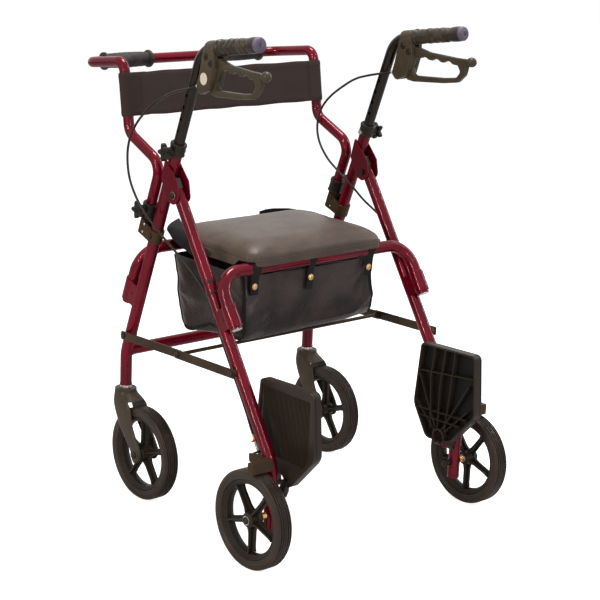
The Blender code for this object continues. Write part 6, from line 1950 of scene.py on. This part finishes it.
def sag(point, a, b, wall, inward):
    """Folds of the bag: pulled up at the tabs, slack between them, creased over all."""
    x, y, z = point
    face = abs(b) ** 10 * (1 - inward)
    pull = sum(bump_at(x, tab, 0.020) for tab in (REAR_TAB_X if b < 0 else FRONT_TAB_X))
    z -= 0.003 * (1 - min(1.0, pull)) * (1 - wall) ** 2 * face
    slant = x + y - 0.9 * z
    broad = noise.noise(Vector((slant * 11.0, (z + 0.4 * (x + y)) * 5.0, 2.0)))
    slack = 0.6 - 1.8 * abs(noise.noise(Vector((slant * 12.0, (z + 0.3 * (x + y)) * 7.0, 5.0))))
    fine = 0.5 - 1.6 * abs(noise.noise(Vector((slant * 30.0, (z + 0.6 * (x + y)) * 13.0, 7.0))))
    push = 0.0065 * broad + 0.0085 * slack + 0.0034 * fine
    push *= 0.15 + 0.85 * sin(pi * min(1.0, wall * 0.92 + 0.04))
    push -= 0.0035 * pull * (1 - wall) ** 2 * face
    side = abs(a) ** 10 * (1 - face) * (1 - inward)
    moved_to = Vector((x, y, z)) + Vector((a * side, b * face, -0.6 * inward)) * push
    moved_to.z += 0.0028 * noise.noise(Vector((x * 14.0, y * 14.0, 5.0))) * inward
    return moved_to


def bag_skin(columns=240, rows=64):
    """Open shell of the bag with a cloth's thickness."""
    verts = [bag_point((k + 0.5) / columns, j / rows) for j in range(rows) for k in range(columns)]
    verts.append(bag_point(0.0, 1.0))
    last = (rows - 1) * columns
    faces = quads(rows, columns)
    faces += [(last + k, last + (k + 1) % columns, rows * columns) for k in range(columns)]
    return changed(shell(verts, faces), "SOLIDIFY", thickness=0.0011, offset=-1.0)


def bag_edge(u):
    """Points just outside the bag down one of its corners."""
    middle = Vector(((BAG_LEFT + BAG_RIGHT) / 2, 0.02, 0.45))
    points = [bag_point(u, 0.60 * k / 40) for k in range(41)]
    return [p + (p - middle).normalized() * 0.0004 for p in points]


def show_bag():
    """Sagging bag with bound edges; its rear wall follows the rear frame."""
    corners = ((0.396, X_AXIS), (0.618, Y_AXIS), (0.882, Y_AXIS), (0.104, X_AXIS))
    trims = [sweep(bag_edge(u), 0.0052, 12, flat=0.16, flat_way=way) for u, way in corners]
    for u_low in (0.396, -0.104):
        line = []
        for k in range(61):
            p = bag_point(u_low + 0.208 * k / 60, 0.60)
            line.append(p + Vector((p.x * 0.004, 0.0, -0.0006)))
        trims.append(sweep(line, 0.0036, 12, flat=0.4, flat_way=X_AXIS))
    rim = sweep([bag_point(k / 240, 0.0) for k in range(241)], 0.0018, 12)
    obj = gathered("bag_look", {BAG_VINYL: [bag_skin(), rim], BINDING: trims})
    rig.blend(obj, "frame", "rear_frame", (0, 0.140 - ORIGIN_Y, 0.45), (0, -0.088 - ORIGIN_Y, 0.45))
    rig.replaces(obj, "bag")
    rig.slot(obj, "bag_cloth")
    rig.sheet(obj, flat=(0.64, 0.51), held="hung", area=0.250)


def ribbon(line, width, thickness, x, slant=0.0):
    """Flat strap along a (y, z) line, width wide in x; slant shifts it in x as it goes."""
    half = width / 2
    side = [(-half, 0.4), (-half + 0.0012, 1.0), (half - 0.0012, 1.0), (half, 0.4)]
    section = [(px, -ease) for px, ease in side] + [(px, ease) for px, ease in reversed(side)]
    last = len(line) - 1
    verts = []
    for i, (y, z) in enumerate(line):
        way = (Vector(line[min(i + 1, last)]) - Vector(line[max(i - 1, 0)])).normalized()
        for px, share in section:
            lift = share * thickness / 2
            verts.append((x + px + slant * i / last, y + way.y * lift, z - way.x * lift))
    return capped(verts, len(section))


def snap_look(centre, way):
    """Snap fastener: a domed cap with a rolled rim."""
    r = 0.0070
    return lathe([(0, -0.0012), (r, -0.0012), (r, 0.0006), (r - 0.0008, 0.0014), (r - 0.0020, 0.0010),
                  (r - 0.0030, 0.0018), (r - 0.0046, 0.0026), (0, 0.0029)], centre, way, 32, 0.0003)


FLAP_LINES = [
    [(-0.1960, 0.153, 0.574), (-0.1945, 0.165, 0.586), (-0.1590, 0.165, 0.595)],
    [(-0.1960, 0.128, 0.557), (-0.1940, 0.126, 0.578), (-0.1720, 0.128, 0.585)],
    [(-0.1945, 0.075, 0.540), (-0.1930, 0.073, 0.563), (-0.1815, 0.071, 0.5745)],
    [(-0.1945, 0.0285, 0.5425), (-0.1935, 0.020, 0.547), (-0.1915, 0.014, 0.549)]]


def show_flap():
    """Loose flap of the bag that lies over the seat's far left corner."""
    rows, columns = 28, 12
    verts = []
    for i in range(rows + 1):
        share = 3 * i / rows
        k = min(2, int(share))
        low, edge, top = [Vector(a).lerp(Vector(b), share - k)
                          for a, b in zip(FLAP_LINES[k], FLAP_LINES[k + 1])]
        for j in range(columns + 1):
            t = j / columns
            p = low * (1 - t) ** 2 + edge * 2 * t * (1 - t) + top * t ** 2
            p.x -= 0.0020 * (1 - t) * (1 + noise.noise(Vector((p.y * 40, p.z * 40, 4.0))))
            p.z += 0.0016 * noise.noise(Vector((p.y * 30, p.x * 30, 8.0))) * t
            verts.append(p)
    sheet = shell(verts, quads(rows + 1, columns + 1, around=False))
    flap = gathered("bag_flap_look", {FLAP_CLOTH: [changed(sheet, "SOLIDIFY", thickness=0.0014)]})
    finish_soft(flap, "seat")
    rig.sheet(flap, flat=(0.16, 0.034), held="laid", rests_on=["seat_cushion_look"], area=0.0052)


def show_tabs():
    """Webbing tabs over the rear seat tube with snaps, and loops round the front one."""
    radius = TUBE_R + GAP + 0.0006
    over = arc(seat_run(rear_socket(), REAR_LEAN, REAR_RUN_Z), radius, -10, 190, 22)
    straps = []
    snaps = []
    for x, width, slant, tail in zip(REAR_TAB_X, (0.021, 0.017, 0.020), (0.0, -0.010, 0.0),
                                     (0.006, 0.014, 0.006)):
        hanging = [(-0.0985, 0.5240), (-0.0975, 0.5130), (-0.0970, 0.5010), (-0.0965, 0.4930 - tail)]
        straps.append(ribbon(over + hanging, width, 0.0013, x, slant))
        snaps.append(snap_look((x + slant * 0.8, -0.0978, 0.505), -Y_AXIS))
    finish_soft(gathered("bag_tabs_look", {BINDING: straps, BRASS: snaps}), "rear_frame")
    line = [(0.1450, 0.508), (0.1470, 0.520)] + arc(front_run(), radius, 190, -230, 22)
    loops = [ribbon(line, TAB_W, 0.0012, x) for x in FRONT_TAB_X]
    finish_soft(gathered("bag_loops_look", {BINDING: loops}), "frame")
    show_flap()


def finish_soft(obj, body):
    obj.data.set_sharp_from_angle(angle=radians(60))
    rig.ride(obj, body)
    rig.slot(obj, "bag_cloth")


# Stage

LAMPS = [("left strip", (-2.9, -0.6, 1.9), 0.05, 2.2, 54.0, (1.0, 0.92, 0.80)),
         ("front strip", (-0.4, -3.2, 1.6), 0.05, 2.2, 28.0, (0.94, 0.90, 1.0)),
         ("top", (0.4, 0.3, 3.0), 0.8, 0.8, 64.0, (1.0, 0.99, 0.97)),
         ("right strip", (2.8, -0.8, 1.8), 0.06, 2.0, 24.0, (0.95, 0.92, 1.0))]


def show_stage():
    """Pale floor that keeps the shadow, a white surround and soft lamps."""
    mesh = shell([(-9, -9, 0), (9, -9, 0), (9, 9, 0), (-9, 9, 0)], [(0, 1, 2, 3)])
    mesh.transform(Matrix.Translation((0, 0, -0.0004)))
    floor = held(mesh, "floor")
    paper = Finish("floor_paper", Roughness=0.9, Emission_Strength=1.0)
    seen = paper.node("ShaderNodeLightPath", out="Is Camera Ray")
    paper.dress("Base Color", (0.80, 0.80, 0.80, 1.0))
    paper.dress("Emission Color", paper.blend(seen, (0, 0, 0, 1), (0.82, 0.82, 0.82, 1)))
    mesh.materials.append(paper.material)
    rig.stage(floor)
    world = bpy.data.worlds.new("studio")
    world.use_nodes = True
    bpy.context.scene.world = world
    graph = Graph(world.node_tree)
    path = world.node_tree.nodes.new("ShaderNodeLightPath")
    shown = Value(graph, path.outputs["Is Camera Ray"])
    for ray in ("Is Glossy Ray", "Is Transmission Ray"):
        shown = shown.math("MAXIMUM", shown, Value(graph, path.outputs[ray]))
    colour = graph.node("ShaderNodeMix", {"data_type": "RGBA"}, {
        0: shown, 6: (0.20, 0.20, 0.21, 1.0), 7: (1.0, 1.0, 1.0, 1.0)}, out=2)
    graph.feed(world.node_tree.nodes["Background"].inputs["Color"], colour)
    for name, place, width, height, energy, tint in LAMPS:
        data = bpy.data.lights.new(name, "AREA")
        data.shape = "RECTANGLE"
        data.size = width
        data.size_y = height
        data.energy = energy
        data.color = tint
        lamp = held(data, name)
        lamp.location = place
        lamp.rotation_mode = "QUATERNION"
        lamp.rotation_quaternion = (Vector((0, 0, 0.5)) - Vector(place)).to_track_quat("-Z", "Y")


def show_camera():
    """Camera at the place that the photograph's perspective gives."""
    yaw, pitch, roll = radians(-41.55), radians(15.20), radians(2.42)
    back = Vector((sin(yaw) * cos(pitch), -cos(yaw) * cos(pitch), sin(pitch)))
    right = (-back).cross(Z_AXIS).normalized()
    up = right.cross(-back)
    r = right * cos(roll) + up * sin(roll)
    u = up * cos(roll) - right * sin(roll)
    data = bpy.data.cameras.new("camera")
    data.sensor_width = 36.0
    data.lens = 101.04
    data.shift_x = 0.0008
    data.shift_y = 0.0103
    camera = held(data, "camera")
    place = Matrix((r, u, back)).transposed().to_4x4()
    place.translation = Vector((-2.263, -2.603 - ORIGIN_Y, 1.356))
    camera.matrix_world = place
    bpy.context.scene.camera = camera


def show_side(side, s):
    show_cable(side, s)
    show_front_leg(side, s)
    show_rear_leg(side, s)
    show_pivot_bolt(side, s)
    show_link("front_link_" + side, s, front_leg_point(FRONT_LINK_Z), INNER_LAYER_X, False)
    show_link("rear_link_" + side, s, rear_link_pin(), OUTER_LAYER_X, True)
    show_handle_collar(side, s)
    show_knob("handle_knob_" + side, s * LEG_X, s, front_leg_point(HANDLE_KNOB_Z))
    show_handle_tube(side, s)
    show_grip(side, s)
    show_housing(side, s)
    show_lever(side, s)
    show_bracket(side, s)
    show_back_collar(side, s)
    show_knob("backrest_knob_" + side, s * LEG_X, s, back_knob_point())
    show_push_grip(side, s)
    show_fork(side, s)
    show_wheel("caster", side, at(s * LEG_X, CASTER_AXLE))
    show_caster_axle(side, s)
    show_wheel("rear", side, at(s * REAR_WHEEL_X, REAR_AXLE))
    show_rear_axle(side, s)
    show_shoe(side, s)
    show_spring(side, s)
    show_footplate(side, s)


show_camera()
show_stage()
for side, s in SIDES.items():
    show_side(side, s)
show_crossbar()
show_seat_tube("seat_tube_front", front_socket(), FRONT_LEAN, FRONT_SOCKET_LENGTH, FRONT_RUN_Z)
show_seat_tube("seat_tube_rear", rear_socket(), REAR_LEAN, REAR_SOCKET_LENGTH, REAR_RUN_Z)
show_link_rod()
show_backrest_tube()
show_strap()
show_seat()
show_bag()
show_tabs()

bpy.context.scene.view_settings.view_transform = "Standard"
dressed_box = [list(corner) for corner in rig.bounds()]
with open("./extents.json", "w") as sizes:
    json.dump({"solid": solid_box, "dressed": dressed_box}, sizes)
